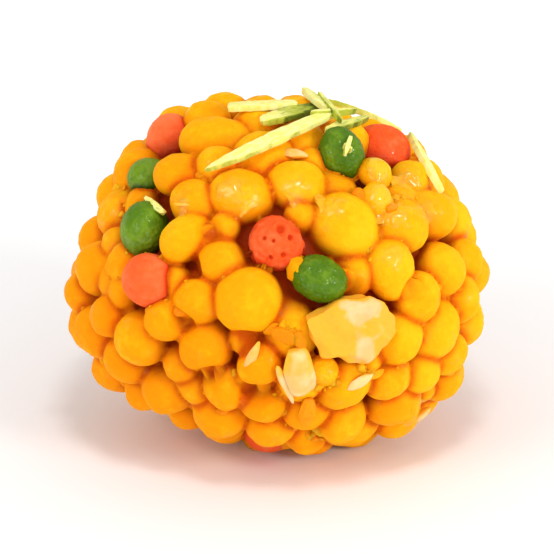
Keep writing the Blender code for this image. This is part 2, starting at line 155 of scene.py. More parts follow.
class Graph:
    """The nodes of one material, from its coordinates to its Principled shader."""

    def __init__(self, name: str) -> None:
        """Starts a material of this name with no nodes."""
        self.material = bpy.data.materials.new(name)
        self.material.use_nodes = True
        self.tree = self.material.node_tree
        self.tree.nodes.clear()
        coordinates = self.add("ShaderNodeTexCoord")
        self.place = Wire(self, coordinates.outputs["Object"])

    def add(
        self,
        kind: str,
        settings: Mapping[str, object] | None = None,
        sockets: Mapping[int | str, object] | None = None,
    ) -> bpy.types.Node:
        """Adds one node.

        Args:
            kind: The node's type.
            settings: Its own settings, set before its sockets.
            sockets: A value or a wire for each socket, by name or number.

        Returns:
            The new node.
        """
        node = self.tree.nodes.new(kind)
        for name, value in (settings or {}).items():
            setattr(node, name, value)
        for key, value in (sockets or {}).items():
            if isinstance(value, Wire):
                self.tree.links.new(value.socket, node.inputs[key])
            else:
                node.inputs[key].default_value = value
        return node

    def noise(
        self, size: float, detail: float = 2.0, distortion: float = 0.0, place: Wire | None = None
    ) -> Wire:
        """A soft random value from 0 to 1 that changes over the piece.

        Args:
            size: How large its spots are, in metres.
            detail: How many finer layers it has.
            distortion: How much its spots are twisted.
            place: Other coordinates to read it at.

        Returns:
            The value.
        """
        place = place or self.place
        sockets = {"Vector": place, "Scale": 1 / size, "Detail": detail, "Distortion": distortion}
        return Wire(self, self.add("ShaderNodeTexNoise", {}, sockets).outputs[0])

    def painted(self, name: str) -> Wire:
        """The value that the mesh carries at each point under this name."""
        settings = {"attribute_type": "GEOMETRY", "attribute_name": name}
        return Wire(self, self.add("ShaderNodeAttribute", settings).outputs["Fac"])

    def along_piece(self, stretch: float) -> Wire:
        """Coordinates that run along a long piece, drawn out by this much."""
        sockets = {0: self.painted("along") * (1 / stretch), 1: self.painted("across")}
        return Wire(self, self.add("ShaderNodeCombineXYZ", {}, sockets).outputs[0])

    def blend(self, mask: Wire | float, first: Wire | Colour, second: Wire | Colour) -> Wire:
        """A colour that goes from the first to the second as the mask goes from 0 to 1.

        Args:
            mask: How much of the second colour shows.
            first: The colour where the mask is 0.
            second: The colour where the mask is 1.

        Returns:
            The mixed colour.
        """
        both = [colour if isinstance(colour, Wire) else (*colour, 1.0) for colour in (first, second)]
        settings = {"data_type": "RGBA", "clamp_factor": True}
        node = self.add("ShaderNodeMix", settings, {0: mask, 6: both[0], 7: both[1]})
        return Wire(self, node.outputs[2])

    def bump(self, height: Wire, depth: float, under: Wire | None = None) -> Wire:
        """Normals that follow a fine relief.

        Args:
            height: The relief, from 0 to 1.
            depth: How deep it goes, in metres.
            under: The normals of a coarser relief under it.

        Returns:
            The normals.
        """
        sockets: dict[int | str, object] = {"Height": height, "Distance": depth, "Strength": 1.0}
        if under:
            sockets["Normal"] = under
        return Wire(self, self.add("ShaderNodeBump", {}, sockets).outputs[0])

    def finish(self, sockets: Mapping[str, object]) -> bpy.types.Material:
        """Ends the material in a Principled shader with these sockets.

        Args:
            sockets: A value or a wire for each of the shader's sockets.

        Returns:
            The material.
        """
        shader = self.add("ShaderNodeBsdfPrincipled", {}, sockets)
        self.add("ShaderNodeOutputMaterial", {}, {"Surface": Wire(self, shader.outputs[0])})
        return self.material


# ---------------------------------------------------------------------------------------------------------
# Finishes
# ---------------------------------------------------------------------------------------------------------


@dataclass(frozen=True)
class BoondiFinish:
    """Fried batter soaked in syrup: translucent, wet in places, with painted shade where drops meet and in
    hollows.
    """

    name: str
    body: Colour
    pale: Colour
    rich: Colour
    # crease and deep are painted shade colours: darker in the creases between drops and in the deepest
    # hollows.
    crease: Colour
    deep: Colour
    glow: Colour
    rough: float = 0.5
    glow_depth: float = 1.1 * MM
    glow_share: float = 0.55
    shine: float = 0.04
    pore_depth: float = 0.05 * MM
    damp: float = 0.0
    speckle: float = 0.8
    cloud_size: float = 4.5 * MM
    mottle_size: float = 0.9 * MM
    pore_size: float = 0.3 * MM
    patch_size: float = 2.2 * MM
    speck_size: float = 0.38 * MM
    tint_pull: float = 0.24
    pale_range: tuple[float, float] = (0.45, 0.7)
    pale_share: float = 0.65
    rich_shade_range: tuple[float, float] = (0.2, 0.9)
    rich_shade_share: float = 0.75
    crease_shade_range: tuple[float, float] = (0.14, 0.7)
    crease_shade_share: float = 0.97
    deep_shade_range: tuple[float, float] = (0.3, 0.9)
    patch_range: tuple[float, float] = (0.58, 0.7)
    patch_share: float = 0.5
    speck_range: tuple[float, float] = (0.5, 0.58)
    most_coat: float = 0.9
    coat_rough: float = 0.035

    def make(self) -> bpy.types.Material:
        """Builds the material."""
        graph = Graph(self.name)
        tint = graph.painted("tint")
        crease = graph.painted("crease")
        deep = graph.painted("deep")
        cloud = graph.noise(self.cloud_size, 2.0)
        mottle = graph.noise(self.mottle_size, 3.0)
        pores = graph.noise(self.pore_size, 2.0)
        # tint is each drop's own tone, and on the mass it also holds painted light: lighter up and to the
        # right.
        colour = graph.blend(tint.eased(0.1, 0.9), self.rich, self.body)
        light = cloud * 0.6 + mottle * 0.4 + (tint - 0.5) * self.tint_pull
        colour = graph.blend(light.eased(*self.pale_range) * self.pale_share, colour, self.pale)
        # Painted shade: the colour goes richer, then darker, in the creases and the deepest hollows.
        colour = graph.blend((crease**0.5).eased(*self.rich_shade_range) * self.rich_shade_share, colour, self.rich)
        uneven = crease + (mottle - 0.5) * 0.3
        colour = graph.blend(uneven.eased(*self.crease_shade_range) * self.crease_shade_share, colour, self.crease)
        colour = graph.blend(deep.eased(*self.deep_shade_range), colour, self.deep)
        patches = graph.noise(self.patch_size, 1.0).eased(*self.patch_range) * self.patch_share
        wet = (patches + graph.painted("wet") + self.damp).eased(0.0, 1.0)
        specks = graph.noise(self.speck_size, 1.0).eased(*self.speck_range)
        relief = graph.bump(mottle, self.pore_depth * 2)
        return graph.finish(
            {
                "Base Color": colour,
                "Roughness": self.rough + mottle * 0.16 - wet * 0.15,
                "Subsurface Weight": self.glow_share,
                "Subsurface Radius": self.glow,
                "Subsurface Scale": self.glow_depth,
                "Specular IOR Level": self.shine,
                "Coat Weight": wet * (specks * self.speckle + (self.most_coat - self.speckle)),
                "Coat Roughness": self.coat_rough,
                "Coat IOR": 1.5,
                "Normal": graph.bump(pores, self.pore_depth, relief),
            }
        )


@dataclass(frozen=True)
class NutFinish:
    """A broken nut or seed: pale, satin, and stained by syrup in patches."""

    name: str
    flesh: Colour
    bright: Colour
    stain: Colour
    stain_pull: float = 0.25
    grain_depth: float = 0.05 * MM
    patch_size: float = 3.4 * MM
    cloud_size: float = 2.2 * MM
    grain_size: float = 0.45 * MM
    bright_range: tuple[float, float] = (0.38, 0.62)
    stain_range: tuple[float, float] = (0.46, 0.62)
    stain_share: float = 0.9
    smooth_range: tuple[float, float] = (0.5, 0.7)
    coat_range: tuple[float, float] = (0.5, 0.62)
    coat_share: float = 0.15
    glow: Colour = (1.0, 0.7, 0.3)
    glow_depth: float = 1.2 * MM

    def make(self) -> bpy.types.Material:
        """Builds the material."""
        graph = Graph(self.name)
        patches = graph.noise(self.patch_size, 2.0, 0.5) + graph.painted("low") * self.stain_pull
        cloud = graph.noise(self.cloud_size, 2.0)
        grain = graph.noise(self.grain_size, 3.0)
        colour = graph.blend(cloud.eased(*self.bright_range), self.flesh, self.bright)
        colour = graph.blend(patches.eased(*self.stain_range) * self.stain_share, colour, self.stain)
        return graph.finish(
            {
                "Base Color": colour,
                "Roughness": 0.55 - patches.eased(*self.smooth_range) * 0.15,
                "Subsurface Weight": 0.4,
                "Subsurface Radius": self.glow,
                "Subsurface Scale": self.glow_depth,
                "Specular IOR Level": 0.1,
                "Coat Weight": patches.eased(*self.coat_range) * self.coat_share,
                "Coat Roughness": 0.12,
                "Normal": graph.bump(grain, self.grain_depth),
            }
        )


@dataclass(frozen=True)
class PistachioFinish:
    """A cut sliver of pistachio: pale yellow-green flesh with fine fibres, and green skin along its edge."""

    name: str = "Pistachio_Cut"
    flesh: Colour = (0.86, 0.80, 0.17)
    bright: Colour = (0.94, 0.91, 0.36)
    green: Colour = (0.40, 0.45, 0.015)
    skin: Colour = (0.10, 0.15, 0.006)
    glow: Colour = (1.0, 0.9, 0.3)
    glow_depth: float = 0.4 * MM
    fibre_width: float = 0.22 * MM
    fibre_stretch: float = 9.0
    fibre_depth: float = 0.08 * MM
    grain_size: float = 0.7 * MM
    grain_depth: float = 0.05 * MM
    bright_range: tuple[float, float] = (0.4, 0.6)
    green_range: tuple[float, float] = (0.28, 0.62)
    skin_range: tuple[float, float] = (0.7, 1.0)

    def make(self) -> bpy.types.Material:
        """Builds the material."""
        graph = Graph(self.name)
        fibre = graph.noise(self.fibre_width, 2.0, 0.0, graph.along_piece(self.fibre_stretch))
        grain = graph.noise(self.grain_size, 3.0)
        worn = graph.painted("skin") + (fibre - 0.5) * 0.9 + (grain - 0.5) * 0.5
        mixed = fibre * 0.6 + grain * 0.4
        colour = graph.blend(mixed.eased(*self.bright_range), self.flesh, self.bright)
        colour = graph.blend(worn.eased(*self.green_range) * 0.9, colour, self.green)
        colour = graph.blend(worn.eased(*self.skin_range), colour, self.skin)
        return graph.finish(
            {
                "Base Color": colour,
                "Roughness": 0.5 + grain * 0.15,
                "Subsurface Weight": 0.15,
                "Subsurface Radius": self.glow,
                "Subsurface Scale": self.glow_depth,
                "Specular IOR Level": 0.25,
                "Normal": graph.bump(fibre, self.fibre_depth, graph.bump(grain, self.grain_depth)),
            }
        )


# In each boondi finish, crease and deep are painted shade colours for creases and hollows.
PLAIN_FINISH = BoondiFinish(
    name="Boondi_Plain",
    body=(0.97, 0.415, 0.003),
    pale=(0.98, 0.53, 0.009),
    rich=(0.93, 0.31, 0.001),
    crease=(0.70, 0.12, 0.001),
    deep=(0.30, 0.025, 0.001),
    glow=(1.0, 0.30, 0.02),
)
SYRUP_FINISH = replace(
    PLAIN_FINISH, name="Boondi_Syrup", rough=0.4, damp=1.0, speckle=0.15, pore_depth=0.01 * MM
)
RED_FINISH = BoondiFinish(
    name="Boondi_Red",
    body=(0.97, 0.125, 0.026),
    pale=(0.99, 0.22, 0.075),
    rich=(0.92, 0.08, 0.012),
    crease=(0.62, 0.04, 0.004),
    deep=(0.36, 0.014, 0.002),
    glow=(1.0, 0.18, 0.06),
    pore_depth=0.09 * MM,
)
GREEN_FINISH = BoondiFinish(
    name="Boondi_Green",
    body=(0.085, 0.19, 0.001),
    pale=(0.21, 0.35, 0.012),
    rich=(0.05, 0.13, 0.001),
    crease=(0.03, 0.07, 0.001),
    deep=(0.015, 0.03, 0.001),
    glow=(0.4, 0.6, 0.05),
    glow_share=0.15,
    glow_depth=0.5 * MM,
    pore_depth=0.07 * MM,
    shine=0.12,
    damp=0.5,
)
CRUMB_FINISH = BoondiFinish(
    name="Boondi_Crumb",
    body=(0.97, 0.40, 0.005),
    pale=(0.98, 0.53, 0.015),
    rich=(0.88, 0.25, 0.003),
    crease=(0.66, 0.12, 0.001),
    deep=(0.42, 0.045, 0.001),
    glow=(1.0, 0.33, 0.03),
    pore_depth=0.1 * MM,
    damp=0.25,
)
CASHEW_FINISH = NutFinish(
    name="Cashew_Broken",
    flesh=(0.88, 0.49, 0.18),
    bright=(0.91, 0.55, 0.26),
    stain=(0.94, 0.42, 0.006),
    stain_pull=0.45,
)
SEED_FINISH = NutFinish(
    name="Melon_Seed",
    flesh=(0.87, 0.49, 0.14),
    bright=(0.92, 0.59, 0.26),
    stain=(0.93, 0.44, 0.010),
    grain_depth=0.03 * MM,
)


# ---------------------------------------------------------------------------------------------------------
# Directions and solids as arrays
# ---------------------------------------------------------------------------------------------------------


def units(vectors: np.ndarray) -> np.ndarray:
    """The vectors, each at length 1."""
    return vectors / np.linalg.norm(vectors, axis=-1, keepdims=True)


def random_directions(rng: np.random.Generator, count: int) -> np.ndarray:
    """Directions drawn evenly over a sphere."""
    return units(rng.normal(size=(count, 3)))


def even_directions(count: int) -> np.ndarray:
    """Directions spread evenly over a sphere, along a golden-angle spiral."""
    step = np.arange(count) + 0.5
    height = 1 - 2 * step / count
    turn = step * math.pi * (3 - math.sqrt(5))
    reach = np.sqrt(1 - height**2)
    return np.column_stack((reach * np.cos(turn), reach * np.sin(turn), height))


def random_turn(rng: np.random.Generator) -> np.ndarray:
    """A matrix that turns things at random."""
    return np.linalg.qr(rng.normal(size=(3, 3)))[0]


def bell(distances: np.ndarray) -> np.ndarray:
    """A smooth share for each distance: 1 at 0, about a third at 1, and nearly 0 from 2 on."""
    return np.exp(-(distances**2))


def tube_faces(rings: int, sides: int) -> list[Sequence[int]]:
    """The faces of a closed tube whose points are numbered ring by ring.

    Args:
        rings: How many rings of points there are.
        sides: How many points each ring has.

    Returns:
        A cap, the sides and another cap.
    """
    faces: list[Sequence[int]] = [tuple(reversed(range(sides)))]
    for low in range(0, (rings - 1) * sides, sides):
        for side in range(sides):
            following = (side + 1) % sides
            faces.append((low + side, low + following, low + sides + following, low + sides + side))
    faces.append(tuple(range((rings - 1) * sides, rings * sides)))
    return faces


def broken(points: np.ndarray, headings: np.ndarray, reaches: np.ndarray) -> np.ndarray:
    """Points with everything beyond some flat breaks pushed back on to them.

    Args:
        points: The points, from the middle of their piece.
        headings: Each break's direction.
        reaches: How far from the middle each break lies.

    Returns:
        The points, with flat facets.
    """
    for heading, reach in zip(headings, reaches):
        beyond = np.clip(points @ heading - reach, 0, None)
        points = points - beyond[:, None] * heading
    return points


def room_between(
    points: np.ndarray, reaches: np.ndarray | float, centres: np.ndarray, radii: np.ndarray
) -> np.ndarray:
    """For each point and each drop, their distance as a share of both radii together."""
    distances = np.linalg.norm(points[:, None] - centres[None], axis=2)
    return distances / (np.atleast_1d(reaches)[:, None] + radii[None])


# ---------------------------------------------------------------------------------------------------------
# The ball's form and how its drops are packed
# ---------------------------------------------------------------------------------------------------------


@dataclass(frozen=True)
class Shown:
    """Something by how far right of the ball's middle and above it its own middle shows, in mm."""

    across: float
    up: float


@dataclass(frozen=True)
class HeldDrop(Shown):
    """A drop that stands out on the shown side. Lengths are in mm, and lean is in degrees.

    Once all drops are packed, proud is how far the drop is moved out, shift how far it is moved right and up
    as it shows, and scale how much longer it is made along its lean and square to it.
    """

    radius: float
    stretch: float = 1.0
    lean: float = 0.0
    sink: float = 0.0
    proud: float = 0.0
    shift: tuple[float, float] = (0.0, 0.0)
    scale: tuple[float, float] = (1.0, 1.0)


@dataclass(frozen=True)
class Spot(Shown):
    """A round place on the ball or on one of its pieces, and how wide it is, in mm."""

    spread: float


@dataclass(frozen=True)
class Chip(Shown):
    """A seed, splinter or flake on the shown side. Lengths are in mm, and lean is in degrees.

    Lift is how far its middle is above the skin. Blocky goes from 0 for a rounded one to 1 for a square one,
    and point is how much its tip narrows.
    """

    half_length: float
    half_width: float
    lean: float
    lift: float = 0.0
    blocky: float = 0.0
    point: float = 0.3


@dataclass(frozen=True)
class Sliver:
    """A sliver of pistachio by its ends, as it shows, and how far it is propped up, in mm.

    Ends are the shares of its width left at its start and end. Skin says how green it is from start to end,
    and edge how much of its near edge is skin.
    """

    from_across: float
    from_up: float
    to_across: float
    to_up: float
    width: float
    lift: float = 0.0
    ends: tuple[float, float] = (0.4, 0.4)
    skin: tuple[float, float] = (0.0, 0.0)
    edge: float = 0.4


@dataclass(frozen=True)
class Cashew:
    """A piece of cashew by where it sits: degrees round from the shown side, and up. Turn is in degrees."""

    name: str
    bearing: float
    elevation: float
    size: float
    turn: float


@dataclass(frozen=True)
class PackedDrop:
    """One drop in its place: its middle, the matrix that takes a unit ball to it, and its dye."""

    centre: np.ndarray
    shape: np.ndarray
    dye: Dye

    @property
    def radius(self) -> float:
        """Its mean radius."""
        return float(abs(np.linalg.det(self.shape)) ** (1 / 3))


RED_DROPS = (
    HeldDrop(-11.9, 15.0, 2.9, proud=0.4, shift=(0.6, -0.6)),
    HeldDrop(-13.9, -0.6, 2.95, proud=1.3, shift=(1.0, 0.2)),
    HeldDrop(-0.1, 3.5, 3.0, sink=0.4),
    HeldDrop(11.9, 14.0, 3.0, sink=-0.8, shift=(-0.8, -0.4), scale=(1.18, 1.0)),
    HeldDrop(-1.2, -20.2, 2.8, sink=0.4),
)
GREEN_DROPS = (
    HeldDrop(-14.2, 11.2, 2.3, shift=(0.3, -0.5)),
    HeldDrop(-14.3, 5.1, 2.7, stretch=1.17, lean=80),
    HeldDrop(4.6, -0.2, 2.7, stretch=1.15, lean=-20, sink=-0.3, scale=(1.0, 0.9)),
    HeldDrop(6.6, 13.0, 2.5, stretch=1.1, lean=100, proud=1.7, shift=(-0.2, -1.3), scale=(1.1, 1.0)),
)
PLAIN_DROPS = (
    HeldDrop(-10.4, 10.9, 2.5, stretch=1.2),
    HeldDrop(-6.6, 14.6, 2.8, stretch=1.4, lean=5),
    HeldDrop(-6.0, 18.6, 2.9),
    HeldDrop(-3.8, 8.6, 3.0, stretch=1.2, lean=-20),
    HeldDrop(2.0, 9.8, 2.9, stretch=1.15),
    HeldDrop(7.1, 5.1, 3.7, stretch=1.1, lean=-45),
    HeldDrop(-9.8, 4.1, 2.4, stretch=1.3, lean=35),
    HeldDrop(-6.0, 1.6, 2.8, sink=0.9),
    HeldDrop(-3.0, -2.5, 3.7, sink=-0.6),
    HeldDrop(12.0, 0.9, 2.7, stretch=1.2, lean=80),
    HeldDrop(17.3, 0.6, 3.0),
    HeldDrop(21.0, 0.4, 2.8),
    HeldDrop(16.3, -5.4, 3.6),
    HeldDrop(17.6, -10.6, 3.0),
    HeldDrop(12.3, -13.0, 3.3),
    HeldDrop(6.8, -15.0, 2.7, stretch=1.15, lean=90),
    HeldDrop(-6.0, -14.4, 3.1, sink=-0.3),
    HeldDrop(-11.6, -11.8, 3.2),
    HeldDrop(-14.4, -6.5, 3.1),
    HeldDrop(-7.6, -7.4, 3.1, sink=0.5),
    HeldDrop(-0.6, -15.6, 2.8),
    HeldDrop(5.0, -10.0, 1.7),
    HeldDrop(-1.8, -9.3, 2.4, stretch=1.2, lean=60, sink=0.3),
    HeldDrop(-18.8, 1.0, 3.1),
    HeldDrop(-17.8, 9.0, 2.8),
    HeldDrop(-18.4, -10.4, 2.9),
    HeldDrop(14.6, -16.8, 2.9),
    HeldDrop(14.4, 10.4, 2.3),
    HeldDrop(10.6, 11.2, 1.7, sink=-0.2),
    HeldDrop(10.6, 8.2, 1.8),
    HeldDrop(16.3, 6.6, 2.8, stretch=1.2),
)
HELD_DROPS = RED_DROPS + GREEN_DROPS + PLAIN_DROPS
DYED_COUNT = len(RED_DROPS + GREEN_DROPS)
SEED_CHIPS = (
    Chip(2.3, -10.2, 2.8, 1.65, -76, lift=0.75, blocky=0.8, point=-0.15),
    Chip(0.9, -11.7, 2.6, 0.5, -73, lift=0.6),
    Chip(-2.7, -8.6, 2.1, 0.55, 66, lift=0.25),
    Chip(8.9, -11.3, 1.7, 0.7, 32, lift=0.3, point=0.5),
    Chip(15.5, -15.3, 1.7, 0.8, 50, lift=0.2),
    Chip(1.6, 13.3, 1.7, 0.75, -8, lift=0.35),
    Chip(-10.3, 7.8, 1.1, 0.2, -18, lift=0.35),
)
BOONDI_FLAKES = (
    Chip(3.2, -14.6, 2.2, 0.95, -84, lift=0.75, blocky=0.5),
    Chip(3.9, -17.9, 0.9, 0.5, 60, lift=0.2),
    Chip(10.8, -10.4, 0.9, 0.6, 20, lift=0.2),
    Chip(0.8, -6.3, 1.6, 0.8, -25, lift=0.3, blocky=0.6),
    Chip(2.4, -6.9, 1.1, 0.6, -70, lift=0.3, blocky=0.6),
    Chip(-0.6, -5.6, 1.0, 0.6, 30, lift=0.2, blocky=0.4),
)
CASHEWS = (
    Cashew("cashew_piece_1", 24, 5, 1.0, 0),
    Cashew("cashew_piece_2", 152, 28, 0.9, 140),
    Cashew("cashew_piece_3", -118, -8, 0.85, 75),
)


@dataclass(frozen=True)
class BallForm:
    """The ball's outer form: an ellipsoid that the hand left fuller or flatter in places.

    Each swell is its bearing round the outline as it shows, in degrees from the right, and its rise in mm.
    """

    half_sizes_mm: tuple[float, float, float] = (23.1, 21.5, 19.7)
    flat_spot_depth: float = 1.4 * MM
    view_elevation: float = math.radians(24)
    swells: tuple[tuple[float, float], ...] = ((126, 1.7), (158, -1.1), (200, 0.9), (240, -1.2), (-40, 1.4))
    swell_width: float = math.radians(24)
    swell_rounds: int = 4
    spot_depth: float = 1.0 * MM

    @property
    def half_sizes(self) -> np.ndarray:
        """Half its width, depth and height out to the drops."""
        return np.array(self.half_sizes_mm) * MM

    @property
    def middle(self) -> np.ndarray:
        """Where the ball's middle is above the flat spot that it rests on."""
        return np.array((0.0, 0.0, self.half_sizes[2] - self.flat_spot_depth))

    def seen_axes(self) -> tuple[np.ndarray, np.ndarray, np.ndarray]:
        """The directions across, up and towards the eye, seen square from the shown side."""
        elevation = self.view_elevation
        across = np.array((1.0, 0.0, 0.0))
        up = np.array((0.0, math.sin(elevation), math.cos(elevation)))
        towards = np.array((0.0, -math.cos(elevation), math.sin(elevation)))
        return across, up, towards

    def swell(self, points: np.ndarray) -> np.ndarray:
        """How far the ball's skin stands out beyond a plain ellipsoid, above each point."""
        across, up, _ = self.seen_axes()
        directions = units(points)
        height = 0.0
        for bearing, rise in self.swells:
            angle = math.radians(bearing)
            middle = math.cos(angle) * across + math.sin(angle) * up
            away = np.arccos(np.clip(directions @ middle, -1, 1)) / self.swell_width
            height = height + rise * MM * bell(away)
        return height

    def _plain_seen_point(self, across: float, up: float, depth: float) -> np.ndarray:
        """The point this deep under a plain ellipsoid's skin that shows at this place, or nearest to it."""
        right, top, towards = self.seen_axes()
        half_sizes = self.half_sizes - depth
        sideways = (across * right + up * top) / half_sizes
        facing = towards / half_sizes
        slope = sideways @ facing
        steepness = facing @ facing
        spread = sideways @ sideways
        room = slope**2 - steepness * (spread - 1)
        if room < 0:
            shrink = math.sqrt(steepness / (steepness * spread - slope**2))
            return shrink * (sideways - slope / steepness * facing) * half_sizes
        return (sideways + (math.sqrt(room) - slope) / steepness * facing) * half_sizes

    def seen_point(self, across: float, up: float, depth: float) -> np.ndarray:
        """The point under the ball's skin that shows at this place, or at the nearest edge.

        Args:
            across: How far right of the ball's middle it shows.
            up: How far above the ball's middle it shows.
            depth: How deep under the skin it lies.

        Returns:
            The point, from the ball's middle.
        """
        point = self._plain_seen_point(across, up, depth)
        for _ in range(self.swell_rounds):
            point = self._plain_seen_point(across, up, depth - self.swell(point))
        return point

    def under(self, thing: Shown, depth: float) -> np.ndarray:
        """The point this deep under the ball's skin where something shows."""
        return self.seen_point(thing.across * MM, thing.up * MM, depth)

    def closeness(self, points: np.ndarray, spots: Iterable[Spot]) -> list[np.ndarray]:
        """How close each point lies to some spots on the ball, from 0 to 1, spot by spot."""
        middles = [(self.under(spot, self.spot_depth), spot.spread * MM) for spot in spots]
        return [bell(np.linalg.norm(points - middle, axis=1) / reach) for middle, reach in middles]

    def outward(self, point: np.ndarray) -> np.ndarray:
        """The direction square to the ball's skin above this point, or above each of several."""
        return units(point / self.half_sizes**2)

    def leaning_axes(self, normal: np.ndarray, lean: float) -> tuple[np.ndarray, np.ndarray, np.ndarray]:
        """Three directions on the skin: along a lean in degrees as it shows, square to that, and outward."""
        across, up, _ = self.seen_axes()
        angle = math.radians(lean)
        along = math.cos(angle) * across + math.sin(angle) * up
        along = along - (along @ normal) * normal
        along = along / np.linalg.norm(along)
        return along, np.cross(normal, along), normal

    def on_shell(self, points: np.ndarray, depths: np.ndarray) -> np.ndarray:
        """Each point, moved straight out or in to its own depth under the skin."""
        half_sizes = self.half_sizes + (self.swell(points) - depths)[:, None]
        return units(points / half_sizes) * half_sizes

    def even_points(self, count: int, depth: float) -> np.ndarray:
        """Points spread evenly over the whole ball, this deep under its skin."""
        return self.on_shell(even_directions(count) * self.half_sizes, np.full(count, depth))

    def above_floor(self, points: np.ndarray, gap: float = 0.0) -> np.ndarray:
        """Whether each point lies higher above the floor than the gap."""
        return points[:, 2] > gap - self.middle[2]

    def kept_off_floor(self, points: np.ndarray) -> np.ndarray:
        """The points, with those under the floor lifted on to it."""
        return np.column_stack((points[:, :2], np.maximum(points[:, 2], -self.middle[2])))

    def cashew_place(self, cashew: Cashew) -> np.ndarray:
        """The point on the ball's skin where a piece of cashew shows."""
        bearing = math.radians(cashew.bearing)
        elevation = math.radians(cashew.elevation)
        level = math.cos(elevation)
        normal = np.array((math.sin(bearing) * level, -math.cos(bearing) * level, math.sin(elevation)))
        direction = normal / self.half_sizes
        return direction / np.linalg.norm(direction) * self.half_sizes


@dataclass
class BallPacking:
    """How the drops are packed into the ball: the ones that stand out first, then a rule for the rest."""

    form: BallForm
    drop_count: int = 205
    drop_radius: float = 2.9 * MM
    radius_spread: float = 0.3 * MM
    smallest: float = 2.2 * MM
    largest: float = 3.5 * MM
    uneven_depth: float = 0.5 * MM
    uneven_shape: float = 0.07
    pressed_together: float = 0.87
    no_room_at_first: float = 0.55
    no_room_at_last: float = 0.74
    settling_rounds: int = 300
    gap_radii: tuple[float, ...] = (2.4 * MM, 2.0 * MM, 1.6 * MM)
    gap_spots: int = 2400
    gap_room: float = 0.78
    gap_sink: float = 0.9 * MM
    view_of_dyed: float = 0.6
    cashew_radius: float = 4.4 * MM
    small_drop: float = 2.1 * MM
    small_drop_sink: float = 0.7 * MM
    small_drop_growth: float = 1.12
    sunk_places: tuple[Spot, ...] = (Spot(1.4, -6.2, 2.4), Spot(6.3, 9.6, 1.2))
    sunk_depth: float = 1.1 * MM
    uneven_from: float = -0.3
    hidden_dyes: int = 13
    hidden_from: float = -3.0 * MM
    seed: int = 27

    def _leaves_in_view(
        self,
        points: np.ndarray,
        reaches: np.ndarray | float,
        dyed_centres: np.ndarray,
        dyed_radii: np.ndarray,
    ) -> np.ndarray:
        """Whether a drop at each point would leave every dyed drop that shows in view.

        Args:
            points: The drops' middles.
            reaches: Their radii.
            dyed_centres: The dyed drops' middles.
            dyed_radii: The dyed drops' radii.

        Returns:
            Whether each drop does.
        """
        seen = np.column_stack(self.form.seen_axes())
        offsets = (points @ seen)[:, None] - (dyed_centres @ seen)[None]
        across_view = np.linalg.norm(offsets[..., :2], axis=2)
        in_front = offsets[..., 2] > 0
        close = across_view < self.view_of_dyed * (np.atleast_1d(reaches)[:, None] + dyed_radii[None])
        return ~(in_front & close).any(axis=1)

    def _held_shape(self, drop: HeldDrop) -> np.ndarray:
        """The matrix that takes a unit ball to a drop that stands out, longer along its lean."""
        across, up, _ = self.form.seen_axes()
        lean = math.radians(drop.lean)
        longer = math.cos(lean) * across + math.sin(lean) * up
        beside = math.cos(lean) * up - math.sin(lean) * across
        long_share = drop.stretch * drop.scale[0] - 1
        wide_share = drop.scale[1] - 1
        shape = np.eye(3) + long_share * np.outer(longer, longer) + wide_share * np.outer(beside, beside)
        return shape * drop.radius * MM

    def _held(self) -> tuple[list[np.ndarray], list[float], list[np.ndarray]]:
        """The middles, packing radii and shapes of the drops that stand out, in the order they are named."""
        centres = [self.form.under(drop, (drop.radius + drop.sink) * MM) for drop in HELD_DROPS]
        radii = [drop.radius * MM * (1 + drop.stretch) / 2 for drop in HELD_DROPS]
        return centres, radii, [self._held_shape(drop) for drop in HELD_DROPS]

    def _settle(self, centres: np.ndarray, radii: np.ndarray, depths: np.ndarray, held: int) -> np.ndarray:
        """Pushes crowded drops apart along the skin.

        Args:
            centres: The drops' middles.
            radii: Their packing radii.
            depths: How deep under the skin each one stays.
            held: How many of the first ones stay put.

        Returns:
            The new middles.
        """
        for _ in range(self.settling_rounds):
            gaps = centres[:, None] - centres[None]
            distances = np.linalg.norm(gaps, axis=2)
            np.fill_diagonal(distances, np.inf)
            lacking = self.pressed_together * (radii[:, None] + radii[None]) - distances
            pushes = gaps / distances[..., None] * np.clip(lacking, 0, None)[..., None] / 2
            moved = centres[held:] + pushes.sum(axis=1)[held:]
            centres[held:] = self.form.on_shell(moved, depths[held:])
        return centres

    def _fill_gaps(self, centres: list[np.ndarray], radii: list[float]) -> None:
        """Adds small drops in the gaps, each where there is most room, the larger ones first."""
        dyed_centres = np.array(centres[:DYED_COUNT])
        dyed_radii = np.array(radii[:DYED_COUNT])
        for radius in self.gap_radii:
            places = self.form.even_points(self.gap_spots, radius + self.gap_sink)
            places = places[self._leaves_in_view(places, radius, dyed_centres, dyed_radii)]
            room = room_between(places, radius, np.array(centres), np.array(radii)).min(axis=1)
            while room.max() > self.gap_room:
                place = places[room.argmax()]
                centres.append(place)
                radii.append(radius)
                left = room_between(places, radius, place[None], np.array((radius,)))[:, 0]
                room = np.minimum(room, left)

    def _uneven_shape(self, rng: np.random.Generator, radius: float) -> np.ndarray:
        """The matrix that takes a unit ball to a slightly uneven drop, turned at random."""
        turn = random_turn(rng)
        lengths = radius * (1 + self.uneven_shape * rng.uniform(-1, 1, 3))
        return turn * lengths @ turn.T

    def _dye_hidden(self, drops: list[PackedDrop]) -> list[PackedDrop]:
        """Dyes some drops away from the shown side, as far as can be from each other and in turns."""
        towards = self.form.seen_axes()[2]
        dyed = [drop.centre for drop in drops if drop.dye is not Dye.PLAIN]
        for turn in range(self.hidden_dyes):
            free = []
            for index, drop in enumerate(drops):
                hidden = drop.centre @ towards < self.hidden_from
                if hidden and drop.dye is Dye.PLAIN and drop.radius > self.smallest:
                    free.append((min(np.linalg.norm(drop.centre - other) for other in dyed), index))
            index = max(free)[1]
            drops[index] = replace(drops[index], dye=Dye.RED if turn % 2 == 0 else Dye.GREEN)
            dyed.append(drops[index].centre)
        return drops

